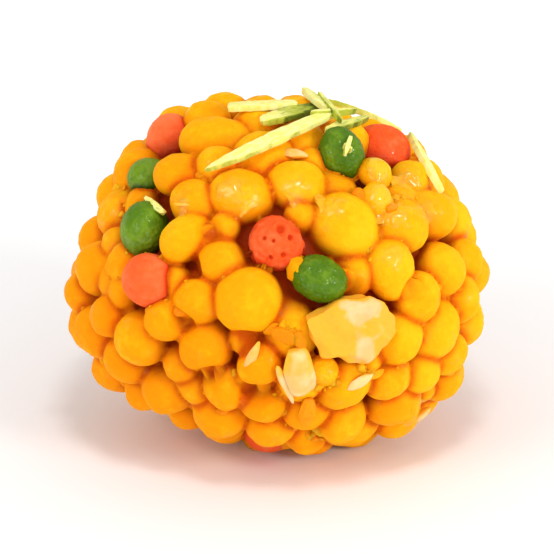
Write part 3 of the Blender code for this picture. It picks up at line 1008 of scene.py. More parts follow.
    def _packed(
        self, rng: np.random.Generator, fixed_centres: np.ndarray, fixed_radii: np.ndarray
    ) -> list[tuple[np.ndarray, float]]:
        """The drops that are packed by rule round the ones that stay put.

        Args:
            rng: Where their sizes are drawn from.
            fixed_centres: The middles of what stays put, with the dyed drops that show first.
            fixed_radii: The packing radii of what stays put.

        Returns:
            Each packed drop's middle and radius, in order.
        """
        drawn = rng.normal(self.drop_radius, self.radius_spread, self.drop_count)
        radii = np.clip(drawn, self.smallest, self.largest)
        depths = radii + rng.uniform(self.uneven_from, 1.0, self.drop_count) * self.uneven_depth
        centres = self.form.on_shell(even_directions(self.drop_count) * self.form.half_sizes, depths)
        nearest = room_between(centres, radii, fixed_centres, fixed_radii).min(axis=1)
        free = nearest > self.no_room_at_first
        radii = np.concatenate((fixed_radii, radii[free]))
        depths = np.concatenate((fixed_radii, depths[free]))
        held = len(fixed_radii)
        centres = self._settle(np.concatenate((fixed_centres, centres[free])), radii, depths, held)

        in_view = self._leaves_in_view(centres, radii, centres[:DYED_COUNT], radii[:DYED_COUNT])
        kept = list(range(held))
        for index in range(held, len(radii)):
            room = room_between(centres[index][None], radii[index], centres[kept], radii[kept])
            if in_view[index] and room.min() > self.no_room_at_last:
                kept.append(index)
        kept_centres = [centres[index] for index in kept]
        kept_radii = [radii[index] for index in kept]
        self._fill_gaps(kept_centres, kept_radii)
        return list(zip(kept_centres, kept_radii))[held:]

    def _pressed_in(self, centre: np.ndarray, radius: float) -> np.ndarray:
        """A packed drop's middle once it is pressed in: small ones everywhere, and any in the sunk places."""
        if radius < self.small_drop:
            centre = centre - self.form.outward(centre) * self.small_drop_sink
        for spot in self.sunk_places:
            if np.linalg.norm(self.form.under(spot, self.drop_radius) - centre) < spot.spread * MM:
                return centre - self.form.outward(centre) * self.sunk_depth
        return centre

    def pack(self) -> list[PackedDrop]:
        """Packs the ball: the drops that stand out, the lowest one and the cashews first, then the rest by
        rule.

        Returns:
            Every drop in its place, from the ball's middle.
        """
        rng = np.random.default_rng(self.seed)
        held_centres, held_radii, held_shapes = self._held()
        lowest = np.array((0.0, 0.0, self.drop_radius - self.form.half_sizes[2]))
        skins = [self.form.cashew_place(cashew) for cashew in CASHEWS]
        nuts = [skin - self.form.outward(skin) * self.drop_radius for skin in skins]
        nut_radii = [self.cashew_radius * cashew.size for cashew in CASHEWS]
        fixed_centres = np.array([*held_centres, lowest, *nuts])
        fixed_radii = np.array([*held_radii, self.drop_radius, *nut_radii])
        packed = self._packed(rng, fixed_centres, fixed_radii)

        dyes = [Dye.RED] * len(RED_DROPS) + [Dye.GREEN] * len(GREEN_DROPS) + [Dye.PLAIN] * len(PLAIN_DROPS)
        seen = np.column_stack(self.form.seen_axes()[:2])
        drops = []
        for drop, centre, shape, dye in zip(HELD_DROPS, held_centres, held_shapes, dyes):
            moved = centre + (self.form.outward(centre) * drop.proud + seen @ drop.shift) * MM
            drops.append(PackedDrop(moved, shape, dye))
        drops.append(PackedDrop(lowest, np.eye(3) * self.drop_radius, Dye.PLAIN))
        for centre, radius in packed:
            growth = self.small_drop_growth if radius < self.small_drop else 1.0
            shape = self._uneven_shape(rng, radius) * growth
            drops.append(PackedDrop(self._pressed_in(centre, radius), shape, Dye.PLAIN))
        return self._dye_hidden(drops)


# ---------------------------------------------------------------------------------------------------------
# Making meshes
# ---------------------------------------------------------------------------------------------------------


@dataclass
class MeshData:
    """A mesh as arrays, with the values that its points carry."""

    points: np.ndarray
    faces: list[Sequence[int]]
    painted: dict[str, np.ndarray] = field(default_factory=dict)

    @staticmethod
    def joined(parts: Iterable[MeshData]) -> MeshData:
        """Several meshes as one, with the values that they all carry."""
        parts = list(parts)
        faces: list[Sequence[int]] = []
        start = 0
        for part in parts:
            faces.extend([index + start for index in face] for face in part.faces)
            start += len(part.points)
        painted = {name: np.concatenate([part.painted[name] for part in parts]) for name in parts[0].painted}
        return MeshData(np.concatenate([part.points for part in parts]), faces, painted)

    @staticmethod
    def unit_ball(subdivisions: int) -> MeshData:
        """A ball of radius 1, of nearly even triangles."""
        shape = bmesh.new()
        bmesh.ops.create_icosphere(shape, subdivisions=subdivisions, radius=1.0)
        points = np.array([vert.co[:] for vert in shape.verts])
        faces = [[vert.index for vert in face.verts] for face in shape.faces]
        shape.free()
        return MeshData(points, faces)

    def to_object(self, name: str, shift: np.ndarray) -> bpy.types.Object:
        """Makes a smooth-shaded object of the mesh.

        Args:
            name: The object's name.
            shift: How far the mesh is moved into the solids' frame.

        Returns:
            The object, in the scene.
        """
        mesh = bpy.data.meshes.new(name)
        mesh.from_pydata((self.points + shift).tolist(), [], self.faces)
        for key, values in self.painted.items():
            attribute = mesh.attributes.new(key, "FLOAT", "POINT")
            attribute.data.foreach_set("value", values.astype(np.float32))
        mesh.shade_smooth()
        mesh.update()
        piece = bpy.data.objects.new(name, mesh)
        bpy.context.scene.collection.objects.link(piece)
        return piece

    @staticmethod
    def from_object(piece: bpy.types.Object) -> MeshData:
        """The mesh of an object as its modifiers leave it, after which the object is removed."""
        depsgraph = bpy.context.evaluated_depsgraph_get()
        mesh = piece.evaluated_get(depsgraph).to_mesh()
        points = np.empty(len(mesh.vertices) * 3)
        mesh.vertices.foreach_get("co", points)
        faces = [list(polygon.vertices) for polygon in mesh.polygons]
        old = piece.data
        bpy.data.objects.remove(piece)
        bpy.data.meshes.remove(old)
        return MeshData(points.reshape(-1, 3), faces)

    def without_pockets(self) -> MeshData:
        """The largest of the mesh's separate skins, without the closed hollows inside it."""
        quads = np.array(self.faces)
        sides = quads.shape[1]
        edges = np.concatenate([quads[:, (side, (side + 1) % sides)] for side in range(sides)])
        labels = np.arange(len(self.points))
        changed = True
        while changed:
            lowest = labels.copy()
            np.minimum.at(lowest, edges[:, 0], labels[edges[:, 1]])
            np.minimum.at(lowest, edges[:, 1], labels[edges[:, 0]])
            lowest = lowest[lowest]
            changed = bool((lowest != labels).any())
            labels = lowest
        kept = labels == np.bincount(labels).argmax()
        numbers = np.cumsum(kept) - 1
        return MeshData(self.points[kept], numbers[quads[kept[quads[:, 0]]]].tolist())

    def remeshed(self, voxel: float) -> MeshData:
        """One closed skin round everything in the mesh, of even small faces.

        Args:
            voxel: The size of those faces, in metres.

        Returns:
            The skin.
        """
        piece = self.to_object("Remeshed", np.zeros(3))
        remesh = piece.modifiers.new("Remesh", "REMESH")
        remesh.mode = "VOXEL"
        remesh.voxel_size = voxel
        return MeshData.from_object(piece)


def dress(piece: bpy.types.Object, material: bpy.types.Material, slot: Slot, *nodes: str) -> bpy.types.Object:
    """Gives a piece its material and its body, hides the nodes that it stands for, and logs its slot.

    Args:
        piece: The piece.
        material: Its material.
        slot: The record's slot, which is logged.
        nodes: The solids' nodes that it replaces.

    Returns:
        The piece.
    """
    piece.data.materials.append(material)
    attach(piece, BODY)
    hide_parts(*nodes)
    faces = len(piece.data.polygons)
    LOG.info("%s: %d faces, %s, replaces %s", piece.name, faces, slot.value, ", ".join(nodes))
    return piece


# ---------------------------------------------------------------------------------------------------------
# The skin of the stuck-together drops
# ---------------------------------------------------------------------------------------------------------


@dataclass
class Relief:
    """An uneven relief that never repeats: many waves of about one length, in all directions."""

    size: float
    height: float
    waves: int = 28
    spread: float = 0.45
    seed: int = 1

    def __post_init__(self) -> None:
        """Draws the waves."""
        rng = np.random.default_rng(self.seed)
        headings = random_directions(rng, self.waves)
        lengths = self.size * rng.uniform(1 - self.spread, 1 + self.spread, self.waves)
        self._waves = headings * (math.tau / lengths)[:, None]
        self._starts = rng.uniform(0, math.tau, self.waves)

    def at(self, points: np.ndarray) -> np.ndarray:
        """How far the relief stands out at each point."""
        phases = points @ self._waves.T + self._starts
        return np.sin(phases).sum(axis=1) * self.height / math.sqrt(self.waves / 2)


@dataclass
class Lumpiness:
    """How far each drop strays from a true ball: a few slow waves over it, different on each."""

    drop_count: int
    height: float = 0.045
    shares: tuple[float, float] = (0.4, 1.3)
    waves: int = 6
    slowest: float = 1.6
    fastest: float = 4.2
    seed: int = 11

    def __post_init__(self) -> None:
        """Draws the waves' directions and where each drop starts them."""
        rng = np.random.default_rng(self.seed)
        headings = random_directions(rng, self.waves)
        self._waves = headings * np.linspace(self.slowest, self.fastest, self.waves)[:, None]
        self._starts = rng.uniform(0, math.tau, (self.drop_count, self.waves))
        shares = rng.uniform(*self.shares, (self.drop_count, 1))
        self._heights = self.height * shares / math.sqrt(self.waves)

    def at(self, directions: np.ndarray, owners: np.ndarray) -> np.ndarray:
        """How far out the skin is, as a share of the radius.

        Args:
            directions: Unit directions from the drops' middles.
            owners: Which drop each direction belongs to.

        Returns:
            The share for each direction.
        """
        phases = directions @ self._waves.T + self._starts[owners]
        return (np.sin(phases) * self._heights[owners]).sum(axis=-1)


RED_PITS = (
    Spot(0.4, 5.2, 0.55),
    Spot(1.5, 4.3, 0.35),
    Spot(-1.4, 4.2, 0.3),
    Spot(0.7, 2.3, 0.35),
    Spot(-0.7, 2.0, 0.3),
    Spot(-0.4, 3.9, 0.25),
)


@dataclass
class DropField:
    """The drops as one signed distance, with syrup rounding off the creases between them."""

    form: BallForm
    drops: list[PackedDrop]
    lumps: Lumpiness
    core_depth: float = 4.0 * MM
    fillet: float = 0.08 * MM
    glaze_fillet: float = 0.34 * MM
    least_glaze: float = 0.08
    glaze_top: float = 0.5
    glaze_wet: float = 0.35
    glazed_over: float = 0.45
    glaze_patches: Relief = field(default_factory=lambda: Relief(14 * MM, 0.3, seed=5))
    dyed_inset: float = 0.55 * MM
    neighbours: int = 6
    points_at_once: int = 8000
    probe: float = 0.02 * MM
    least_steepness: float = 0.3
    laying_rounds: int = 6
    dimple_count: int = 30
    dimple_radius: float = 0.7 * MM
    dimple_shares: tuple[float, float] = (0.5, 1.3)
    dimple_depth: float = 0.2 * MM
    dimple_scatter: float = 0.45
    deepest: float = 4.5 * MM
    wet_spots: tuple[Spot, ...] = (
        Spot(10.8, 11.6, 1.7),
        Spot(14.3, 10.7, 1.5),
        Spot(11.2, 8.8, 1.7),
        Spot(6.0, 7.8, 1.7),
        Spot(16.0, 7.4, 2.0),
        Spot(12.8, 6.4, 1.4),
        Spot(-4.6, 9.2, 2.0),
        Spot(1.7, 9.4, 1.5),
        Spot(-2.7, 7.2, 1.3),
        Spot(15.0, -15.5, 2.0),
        Spot(12.4, 2.2, 1.7),
        Spot(-10.2, 7.8, 1.2),
    )
    pits: tuple[Spot, ...] = (
        Spot(-6.2, 5.3, 1.0),
        Spot(8.5, -0.4, 1.4),
        Spot(14.7, -1.8, 1.0),
        Spot(1.0, 0.3, 1.08),
        Spot(-1.8, -12.4, 1.7),
        Spot(-7.0, -10.6, 1.2),
        Spot(-3.8, -7.0, 1.1),
        Spot(-9.1, 1.6, 0.8),
        Spot(-10.0, -4.4, 1.0),
        Spot(0.2, -18.6, 1.4),
        Spot(8.3, -17.4, 1.1),
        Spot(-12.6, -15.2, 2.0),
    )
    pit_depth: float = 2.0 * MM
    pit_level: float = 2.0 * MM
    pit_spots: int = 4000
    pit_search: float = 1.3 * MM
    pit_pull: float = 0.3
    hidden_pits: int = 22
    hidden_pit_sizes: tuple[float, float] = (0.8, 1.4)
    hidden_pit_choice: int = 5
    hidden_pit_gap: float = 3 * MM
    seed: int = 5

    def __post_init__(self) -> None:
        """Lays out the drops' places, sizes and dimples as arrays."""
        self._centres = np.array([drop.centre for drop in self.drops])
        self._inverses = np.array([np.linalg.inv(drop.shape) for drop in self.drops])
        self._radii = np.array([drop.radius for drop in self.drops])
        self._insets = np.array([0.0 if drop.dye is Dye.PLAIN else self.dyed_inset for drop in self.drops])
        rng = np.random.default_rng(self.seed)
        chosen = rng.choice(len(self.drops), self.dimple_count)
        outward = self.form.outward(self._centres[chosen])
        headings = units(outward + rng.normal(size=outward.shape) * self.dimple_scatter)
        self._dents = self._centres[chosen] + headings * self._radii[chosen][:, None]
        self._dent_sizes = self.dimple_radius * rng.uniform(*self.dimple_shares, self.dimple_count)
        self._dent_depths = np.full(self.dimple_count, self.dimple_depth)
        self._dig_pits(rng)

    def _dig_pits(self, rng: np.random.Generator) -> None:
        """Adds the deep gaps between drops: the named ones, and the deepest on the hidden sides."""
        spots = self.settle(self.form.even_points(self.pit_spots, self.pit_level), rounds=5)
        depths = self.depths(spots)
        places = []
        for pit in self.pits:
            away = np.linalg.norm(spots - self.form.under(pit, self.pit_level), axis=1) / self.pit_search
            places.append(spots[(depths - away**2 * self.pit_pull).argmax()])
        sizes = [pit.spread * MM for pit in self.pits]
        hidden = (spots @ self.form.seen_axes()[2] < 0) & self.form.above_floor(spots, self.hidden_pit_gap)
        spots = spots[hidden]
        spots = spots[np.argsort(-self.depths(spots))[: self.hidden_pits * self.hidden_pit_choice]]
        for _ in range(self.hidden_pits):
            away = np.linalg.norm(spots[:, None] - np.array(places)[None], axis=2).min(axis=1)
            places.append(spots[away.argmax()])
            sizes.append(rng.uniform(*self.hidden_pit_sizes) * MM)
        self._dents = np.concatenate((self._dents, np.array(places)))
        self._dent_sizes = np.concatenate((self._dent_sizes, np.array(sizes)))
        self._dent_depths = np.concatenate((self._dent_depths, np.full(len(places), self.pit_depth)))

    def nearest(self, points: np.ndarray) -> np.ndarray:
        """The few drops whose skins lie nearest to each point, nearest first."""
        found = []
        for part in np.array_split(points, max(1, len(points) // self.points_at_once)):
            away = np.linalg.norm(part[:, None] - self._centres[None], axis=2) - self._radii[None]
            closest = np.argpartition(away, self.neighbours, axis=1)[:, : self.neighbours]
            order = np.argsort(np.take_along_axis(away, closest, axis=1), axis=1)
            found.append(np.take_along_axis(closest, order, axis=1))
        return np.concatenate(found)

    def distances(self, points: np.ndarray, owners: np.ndarray) -> np.ndarray:
        """How far each point lies outside each of its nearest drops."""
        offsets = points[:, None] - self._centres[owners]
        local = np.einsum("mkij,mkj->mki", self._inverses[owners], offsets)
        reach = np.linalg.norm(local, axis=2)
        outside = 1 - (1 + self.lumps.at(local / reach[..., None], owners)) / reach
        return np.linalg.norm(offsets, axis=2) * outside

    def _core_distance(self, points: np.ndarray) -> np.ndarray:
        """How far each point lies outside the core."""
        reach = np.linalg.norm(points, axis=1)
        directions = points / reach[:, None]
        core = 1 / np.linalg.norm(directions / (self.form.half_sizes - self.core_depth), axis=1)
        return reach - core - self.form.swell(points)

    def skin(self, points: np.ndarray, owners: np.ndarray) -> np.ndarray:
        """How far each point lies outside the skin of the plain drops and the core."""
        softness = self.fillet + self.glaze_fillet * self.glaze(points)
        drops = self.distances(points, owners) + self._insets[owners]
        each = np.column_stack((drops, self._core_distance(points)))
        least = each.min(axis=1)
        shares = np.exp(-(each - least[:, None]) / softness[:, None]).sum(axis=1)
        away = np.linalg.norm(points[:, None] - self._dents[None], axis=2) / self._dent_sizes[None]
        dents = (self._dent_depths[None] * bell(away)).sum(axis=1)
        return least - softness * np.log(shares) + dents

    def glaze(self, points: np.ndarray) -> np.ndarray:
        """How thickly syrup glazes the drops together, from 0 to 1: most at the top, and in patches."""
        height = points[:, 2] / self.form.half_sizes[2] * self.glaze_top
        patches = self.least_glaze + height + self.glaze_patches.at(points)
        return np.clip(patches + self.wetness(points) * self.glaze_wet, 0, 1)

    def laid(self, places: Sequence[tuple[float, float]], gap: float) -> np.ndarray:
        """Points that show at these places, at the depth that lays the lowest of them on the skin.

        Args:
            places: How far right of the ball's middle and above it each point shows.
            gap: How far above the skin the lowest point lies.

        Returns:
            The points, from the ball's middle.
        """
        depth = 0.0
        for _ in range(self.laying_rounds):
            points = np.array([self.form.seen_point(across, up, depth) for across, up in places])
            depth += self.skin(points, self.nearest(points)).min() - gap
        return points

    def settle(self, points: np.ndarray, rounds: int = 4, step: float = 0.3 * MM) -> np.ndarray:
        """Moves points on to the skin.

        Args:
            points: Points near the skin.
            rounds: How many times they are moved.
            step: The furthest that they move each time.

        Returns:
            The points on the skin.
        """
        owners = self.nearest(points)
        for _ in range(rounds):
            here = self.skin(points, owners)
            slopes = np.column_stack(
                [(self.skin(points + nudge, owners) - here) / self.probe for nudge in np.eye(3) * self.probe]
            )
            steep = np.clip((slopes**2).sum(axis=1), self.least_steepness, None)
            moves = slopes * (here / steep)[:, None]
            lengths = np.linalg.norm(moves, axis=1)
            points = points - moves * np.minimum(1, step / np.maximum(lengths, 1e-9))[:, None]
        return points

    def on_plain(self, points: np.ndarray) -> np.ndarray:
        """Whether the drop nearest to each point is a plain one."""
        return self._insets[self.nearest(points)[:, 0]] == 0

    def off_dyed(self, points: np.ndarray) -> np.ndarray:
        """How far each point lies outside the nearest dyed drop, if one is near."""
        owners = self.nearest(points)
        return np.where(self._insets[owners] > 0, self.distances(points, owners), np.inf).min(axis=1)

    def creases(self, points: np.ndarray, width: float = 0.6 * MM) -> np.ndarray:
        """How deep in a crease each point of the skin lies, from 0 on a drop's crown to 1."""
        drops = self.distances(points, self.nearest(points))
        each = np.column_stack((drops, self._core_distance(points)))
        each.sort(axis=1)
        return np.exp(-np.clip(each[:, 1], 0, None) / width)

    def depths(self, points: np.ndarray) -> np.ndarray:
        """How far under the ball's outer form each point lies, as a share of the deepest."""
        reach = np.linalg.norm(points, axis=1)
        outer = 1 / np.linalg.norm(points / reach[:, None] / self.form.half_sizes, axis=1)
        return np.clip((outer + self.form.swell(points) - reach) / self.deepest, 0, 1)

    def wetness(self, points: np.ndarray) -> np.ndarray:
        """How thick the syrup lies at each point, from 0 to 1."""
        return np.minimum(sum(self.form.closeness(points, self.wet_spots)), 1)

    def marks(self, points: np.ndarray, tint: np.ndarray, crease: np.ndarray) -> dict[str, np.ndarray]:
        """The values that a boondi finish reads at each point."""
        # crease and deep carry painted shade for creases and hollows; the syrup glaze thins the crease shade.
        crease = crease * (1 - self.glazed_over * self.glaze(points))
        return {"tint": tint, "crease": crease, "deep": self.depths(points), "wet": self.wetness(points)}


@dataclass
class BoondiMass:
    """All the plain drops, stuck into one mass over the core."""

    drop_field: DropField
    finish: BoondiFinish
    voxel: float = 0.37 * MM
    quick_voxel: float = 0.5 * MM
    start_subdivisions: int = 3
    core_subdivisions: int = 5
    painted_light_trend: tuple[float, float] = (0.55, 0.42)
    painted_light_share: float = 0.6
    grain: Relief = field(default_factory=lambda: Relief(1.3 * MM, 0.025 * MM, seed=2))
    dapple: Relief = field(default_factory=lambda: Relief(3.2 * MM, 0.05 * MM, seed=3))
    seed: int = 3

    def _rough_form(self) -> MeshData:
        """Plain balls for the drops and the core, as a start for the skin."""
        ball = MeshData.unit_ball(self.start_subdivisions)
        drops = self.drop_field.drops
        parts = [MeshData(ball.points @ drop.shape.T + drop.centre, ball.faces) for drop in drops]
        core = MeshData.unit_ball(self.core_subdivisions)
        core_points = core.points * (self.drop_field.form.half_sizes - self.drop_field.core_depth)
        swell = self.drop_field.form.swell(core_points)[:, None] * core.points
        parts.append(MeshData(core_points + swell, core.faces))
        return MeshData.joined(parts)

    def _tones_with_painted_light(self, points: np.ndarray) -> np.ndarray:
        """How light the drop under each point is: uneven, plus painted light that makes it lighter up and to
        the right.
        """
        owners = self.drop_field.nearest(points)[:, 0]
        drawn = np.random.default_rng(self.seed).uniform(0, 1, len(self.drop_field.drops))
        places = np.array([drop.centre for drop in self.drop_field.drops]) / self.drop_field.form.half_sizes
        # Painted light: drops further right and higher up are made lighter.
        trend = np.clip(0.5 + places[:, ::2] @ self.painted_light_trend, 0, 1)
        return (drawn * (1 - self.painted_light_share) + trend * self.painted_light_share)[owners]

    def skinned(
        self, points: np.ndarray, faces: list[Sequence[int]], rise: np.ndarray | float = 0.0
    ) -> MeshData:
        """A mesh laid on the skin of the mass, with its grain and the values that the finish reads.

        Args:
            points: The mesh's points, near the skin.
            faces: Its faces.
            rise: How far above the skin each point ends up.

        Returns:
            The mesh, clear of the floor.
        """
        points = self.drop_field.settle(points)
        lift = self.grain.at(points) + self.dapple.at(points) + rise
        points = points + units(points) * lift[:, None]
        marks = self.drop_field.marks(points, self._tones_with_painted_light(points), self.drop_field.creases(points))
        return MeshData(self.drop_field.form.kept_off_floor(points), faces, marks)

    def build(self) -> bpy.types.Object:
        """Builds the mass and dresses it."""
        voxel = self.voxel
        rough = self._rough_form().remeshed(voxel).without_pockets()
        piece = self.skinned(rough.points, rough.faces).to_object("boondi_mass", self.drop_field.form.middle)
        return dress(piece, self.finish.make(), Slot.BOONDI, LADOO_NODE)


@dataclass
class SyrupFilm:
    """Syrup lying thick on the wet places: a rippled film over the drops that glints."""

    mass: BoondiMass
    finish: BoondiFinish
    spacing: float = 0.12 * MM
    reach: float = 1.15
    rise: float = 0.07 * MM
    edge_dip: float = 0.2 * MM
    ripples: Relief = field(default_factory=lambda: Relief(1.7 * MM, 0.04 * MM, seed=41))
    ragged: Relief = field(default_factory=lambda: Relief(3.2 * MM, 0.05 * MM, seed=42))
    depth: float = 0.5 * MM
    hidden_spots: int = 26
    hidden_radius: float = 1.6 * MM

    def _middles(self) -> tuple[np.ndarray, np.ndarray]:
        """Where each patch lies and how wide it is: on the wet places, and on the hidden sides."""
        form = self.mass.drop_field.form
        spots = self.mass.drop_field.wet_spots
        shown = np.array([form.under(spot, self.depth) for spot in spots])
        others = form.even_points(self.hidden_spots, 0.0)
        hidden = others[(others @ form.seen_axes()[2] < 0) & (others[:, 2] > 0)]
        radii = [spot.spread * MM * self.reach for spot in spots] + [self.hidden_radius] * len(hidden)
        return np.concatenate((shown, hidden)), np.array(radii)

    def _patch(self, middle: np.ndarray, radius: float) -> MeshData:
        """A round patch of film that sinks into the drops at its edge."""
        form = self.mass.drop_field.form
        along, beside, _ = form.leaning_axes(form.outward(middle), 0.0)
        count = int(2 * radius / self.spacing)
        steps = np.linspace(-radius, radius, count + 1)
        grid = np.array([(across, up) for up in steps for across in steps])
        away = np.linalg.norm(grid, axis=1) / radius
        inside = away <= 1
        numbers = np.cumsum(inside) - 1
        faces = []
        for row in range(count):
            for column in range(count):
                low = row * (count + 1) + column
                corners = (low, low + 1, low + count + 2, low + count + 1)
                if inside[list(corners)].all():
                    faces.append([int(numbers[corner]) for corner in corners])
        points = middle + grid[inside] @ np.array((along, beside))
        plain = self.mass.drop_field.on_plain(points)[faces].all(axis=1)
        faces = [face for face, kept in zip(faces, plain) if kept]
        rise = self.rise - (self.rise + self.edge_dip) * away[inside] ** 3
        return self.mass.skinned(points, faces, rise + self.ripples.at(points) + self.ragged.at(points))

    def build(self) -> bpy.types.Object:
        """Builds the film and dresses it."""
        parts = [self._patch(middle, radius) for middle, radius in zip(*self._middles())]
        piece = MeshData.joined(parts).to_object("syrup_film", self.mass.drop_field.form.middle)
        return dress(piece, self.finish.make(), Slot.BOONDI, LADOO_NODE)


@dataclass
class DyedDrops:
    """The drops of one dye, each a ball of its own among the plain ones, slightly wrinkled."""

    drop_field: DropField
    dye: Dye
    finish: BoondiFinish
    slot: Slot
    wrinkle_height: float
    roughest: int = -1
    pits: tuple[Spot, ...] = ()
    pit_depth: float = 0.3 * MM
    subdivisions: int = 6
    hidden_subdivisions: int = 5
    wrinkle_size: float = 0.65 * MM
    wrinkle_shares: tuple[float, float] = (0.6, 1.3)
    rough: Relief = field(default_factory=lambda: Relief(1.4 * MM, 0.15 * MM, waves=40, seed=7))
    rough_top: float = 0.03 * MM
    tints: tuple[float, float] = (0.2, 1.0)
    seed: int = 8

    def build(self) -> bpy.types.Object:
        """Builds the drops and dresses them."""
        rng = np.random.default_rng(self.seed)
        wrinkles = Relief(self.wrinkle_size, self.wrinkle_height, waves=40, seed=6)
        form = self.drop_field.form
        towards = form.seen_axes()[2]
        fine = MeshData.unit_ball(self.subdivisions)
        plain = MeshData.unit_ball(self.hidden_subdivisions)
        parts = []
        for index, drop in enumerate(self.drop_field.drops):
            if drop.dye is not self.dye:
                continue
            ball = fine if drop.centre @ towards > 0 else plain
            lumps = self.drop_field.lumps.at(ball.points, np.full(len(ball.points), index))
            points = (ball.points * (1 + lumps)[:, None]) @ drop.shape.T + drop.centre
            relief = wrinkles.at(points) * rng.uniform(*self.wrinkle_shares)
            pitted = np.zeros(len(points))
            if index == self.roughest:
                pitted = self._pitting(points)
                relief += np.minimum(self.rough.at(points), self.rough_top) - pitted * self.pit_depth
            points = form.kept_off_floor(points + ball.points * relief[:, None])
            tint = np.full(len(points), rng.uniform(*self.tints))
            # The crease mark paints shade where the drop meets its neighbours and in its pits.
            marks = self.drop_field.marks(points, tint, np.maximum(self._creases(points, index), pitted))
            parts.append(MeshData(points, ball.faces, marks))
        piece = MeshData.joined(parts).to_object(f"{self.dye.value}_boondi", form.middle)
        return dress(piece, self.finish.make(), self.slot, LADOO_NODE)

    def _pitting(self, points: np.ndarray) -> np.ndarray:
        """How deep in a pit each point lies, from 0 to 1."""
        shown = points @ np.column_stack(self.drop_field.form.seen_axes())
        total = np.zeros(len(points))
        for pit in self.pits:
            away = np.linalg.norm(shown[:, :2] / MM - (pit.across, pit.up), axis=1) / pit.spread
            total = np.maximum(total, np.exp(-(away**4)) * (shown[:, 2] > 0))
        return total

    def _creases(self, points: np.ndarray, index: int, width: float = 0.4 * MM) -> np.ndarray:
        """How near each point of a drop lies to the drops round it, from 0 to 1."""
        owners = self.drop_field.nearest(points)
        away = np.where(owners == index, np.inf, self.drop_field.distances(points, owners))
        return np.exp(-np.clip(away.min(axis=1), 0, None) / width)


# ---------------------------------------------------------------------------------------------------------
# Nuts and seeds
# ---------------------------------------------------------------------------------------------------------


@dataclass
class CashewPieces:
    """Broken pieces of cashew set in the skin, each in the place and form of its solid."""

    form: BallForm
    finish: NutFinish
    outline: tuple[tuple[float, float], ...] = (
        (-5.7, 2.2), (-3.9, 3.0), (-2.0, 4.0), (-0.4, 4.3), (1.6, 4.2), (3.2, 3.2), (4.7, 1.6), (4.9, -0.3),
        (4.1, -2.0), (2.6, -3.1), (0.8, -4.0), (-0.8, -3.7), (-2.2, -2.8), (-4.0, -2.3), (-5.2, -0.4),
    )
    rings: tuple[tuple[float, float], ...] = ((-4.2, 0.7), (-2.8, 0.95), (-0.8, 1.0), (0.1, 0.86))
    voxel: float = 0.16 * MM
    breaks: tuple[tuple[float, float, float], ...] = (
        (24, 150, 1.0), (30, 20, 1.15), (34, 265, 1.1), (20, 330, 0.95), (42, 95, 1.9), (40, 205, 1.9),
    )
    stains: tuple[Spot, ...] = (Spot(-2.8, -1.1, 2.2), Spot(1.6, 0.8, 0.8), Spot(3.4, -1.6, 1.3))
    middle_depth: float = 2.0
    smoothing: int = 6
    reliefs: tuple[Relief, ...] = (
        Relief(3.6 * MM, 0.13 * MM, seed=12),
        Relief(1.6 * MM, 0.03 * MM, seed=13),
        Relief(0.7 * MM, 0.015 * MM, seed=14),
    )
    ripple_sink: float = 1.5

    def _solid(self, cashew: Cashew, along: np.ndarray, beside: np.ndarray, normal: np.ndarray) -> MeshData:
        """The piece's plain form: rings of its outline, from its foot to its top."""
        place = self.form.cashew_place(cashew)
        points = []
        for height, share in self.rings:
            for out, aside in self.outline:
                flat = (along * out + beside * aside) * share
                points.append(place + (flat + normal * height) * MM * cashew.size)
        return MeshData(np.array(points), tube_faces(len(self.rings), len(self.outline)))

    def _mesh(self, cashew: Cashew) -> MeshData:
        """The piece with the flat facets and the soft ridges of a broken nut."""
        place = self.form.cashew_place(cashew)
        along, beside, normal = self.form.leaning_axes(self.form.outward(place), cashew.turn)
        piece = self._solid(cashew, along, beside, normal).remeshed(self.voxel).to_object("Nut", np.zeros(3))
        smooth = piece.modifiers.new("Smooth", "SMOOTH")
        smooth.iterations = self.smoothing
        mesh = MeshData.from_object(piece)
        middle = place - normal * self.middle_depth * MM * cashew.size
        headings = []
        reaches = []
        for tilt, bearing, drop in self.breaks:
            level = math.sin(math.radians(tilt))
            around = math.radians(bearing)
            sideways = along * math.cos(around) + beside * math.sin(around)
            headings.append(normal * math.cos(math.radians(tilt)) + sideways * level)
            reaches.append((self.middle_depth + drop) * MM * cashew.size)
        local = broken(mesh.points - middle, np.array(headings), np.array(reaches))
        ripple = sum(relief.at(mesh.points) - self.ripple_sink * relief.height for relief in self.reliefs)
        mesh.points = middle + local + units(local) * ripple[:, None]
        low = np.clip(1 - local @ normal / (self.middle_depth * MM * cashew.size), 0, 1)
        flat = np.column_stack((local @ along, local @ beside)) / MM / cashew.size
        for stain in self.stains:
            low = low + bell(np.linalg.norm(flat - (stain.across, stain.up), axis=1) / stain.spread)
        mesh.painted = {"low": low}
        return mesh

    def build(self) -> list[bpy.types.Object]:
        """Builds every piece of cashew and dresses it."""
        material = self.finish.make()
        pieces = []
        for cashew in CASHEWS:
            piece = self._mesh(cashew).to_object(f"broken_{cashew.name}", self.form.middle)
            pieces.append(dress(piece, material, Slot.CASHEW, cashew.name))
        return pieces


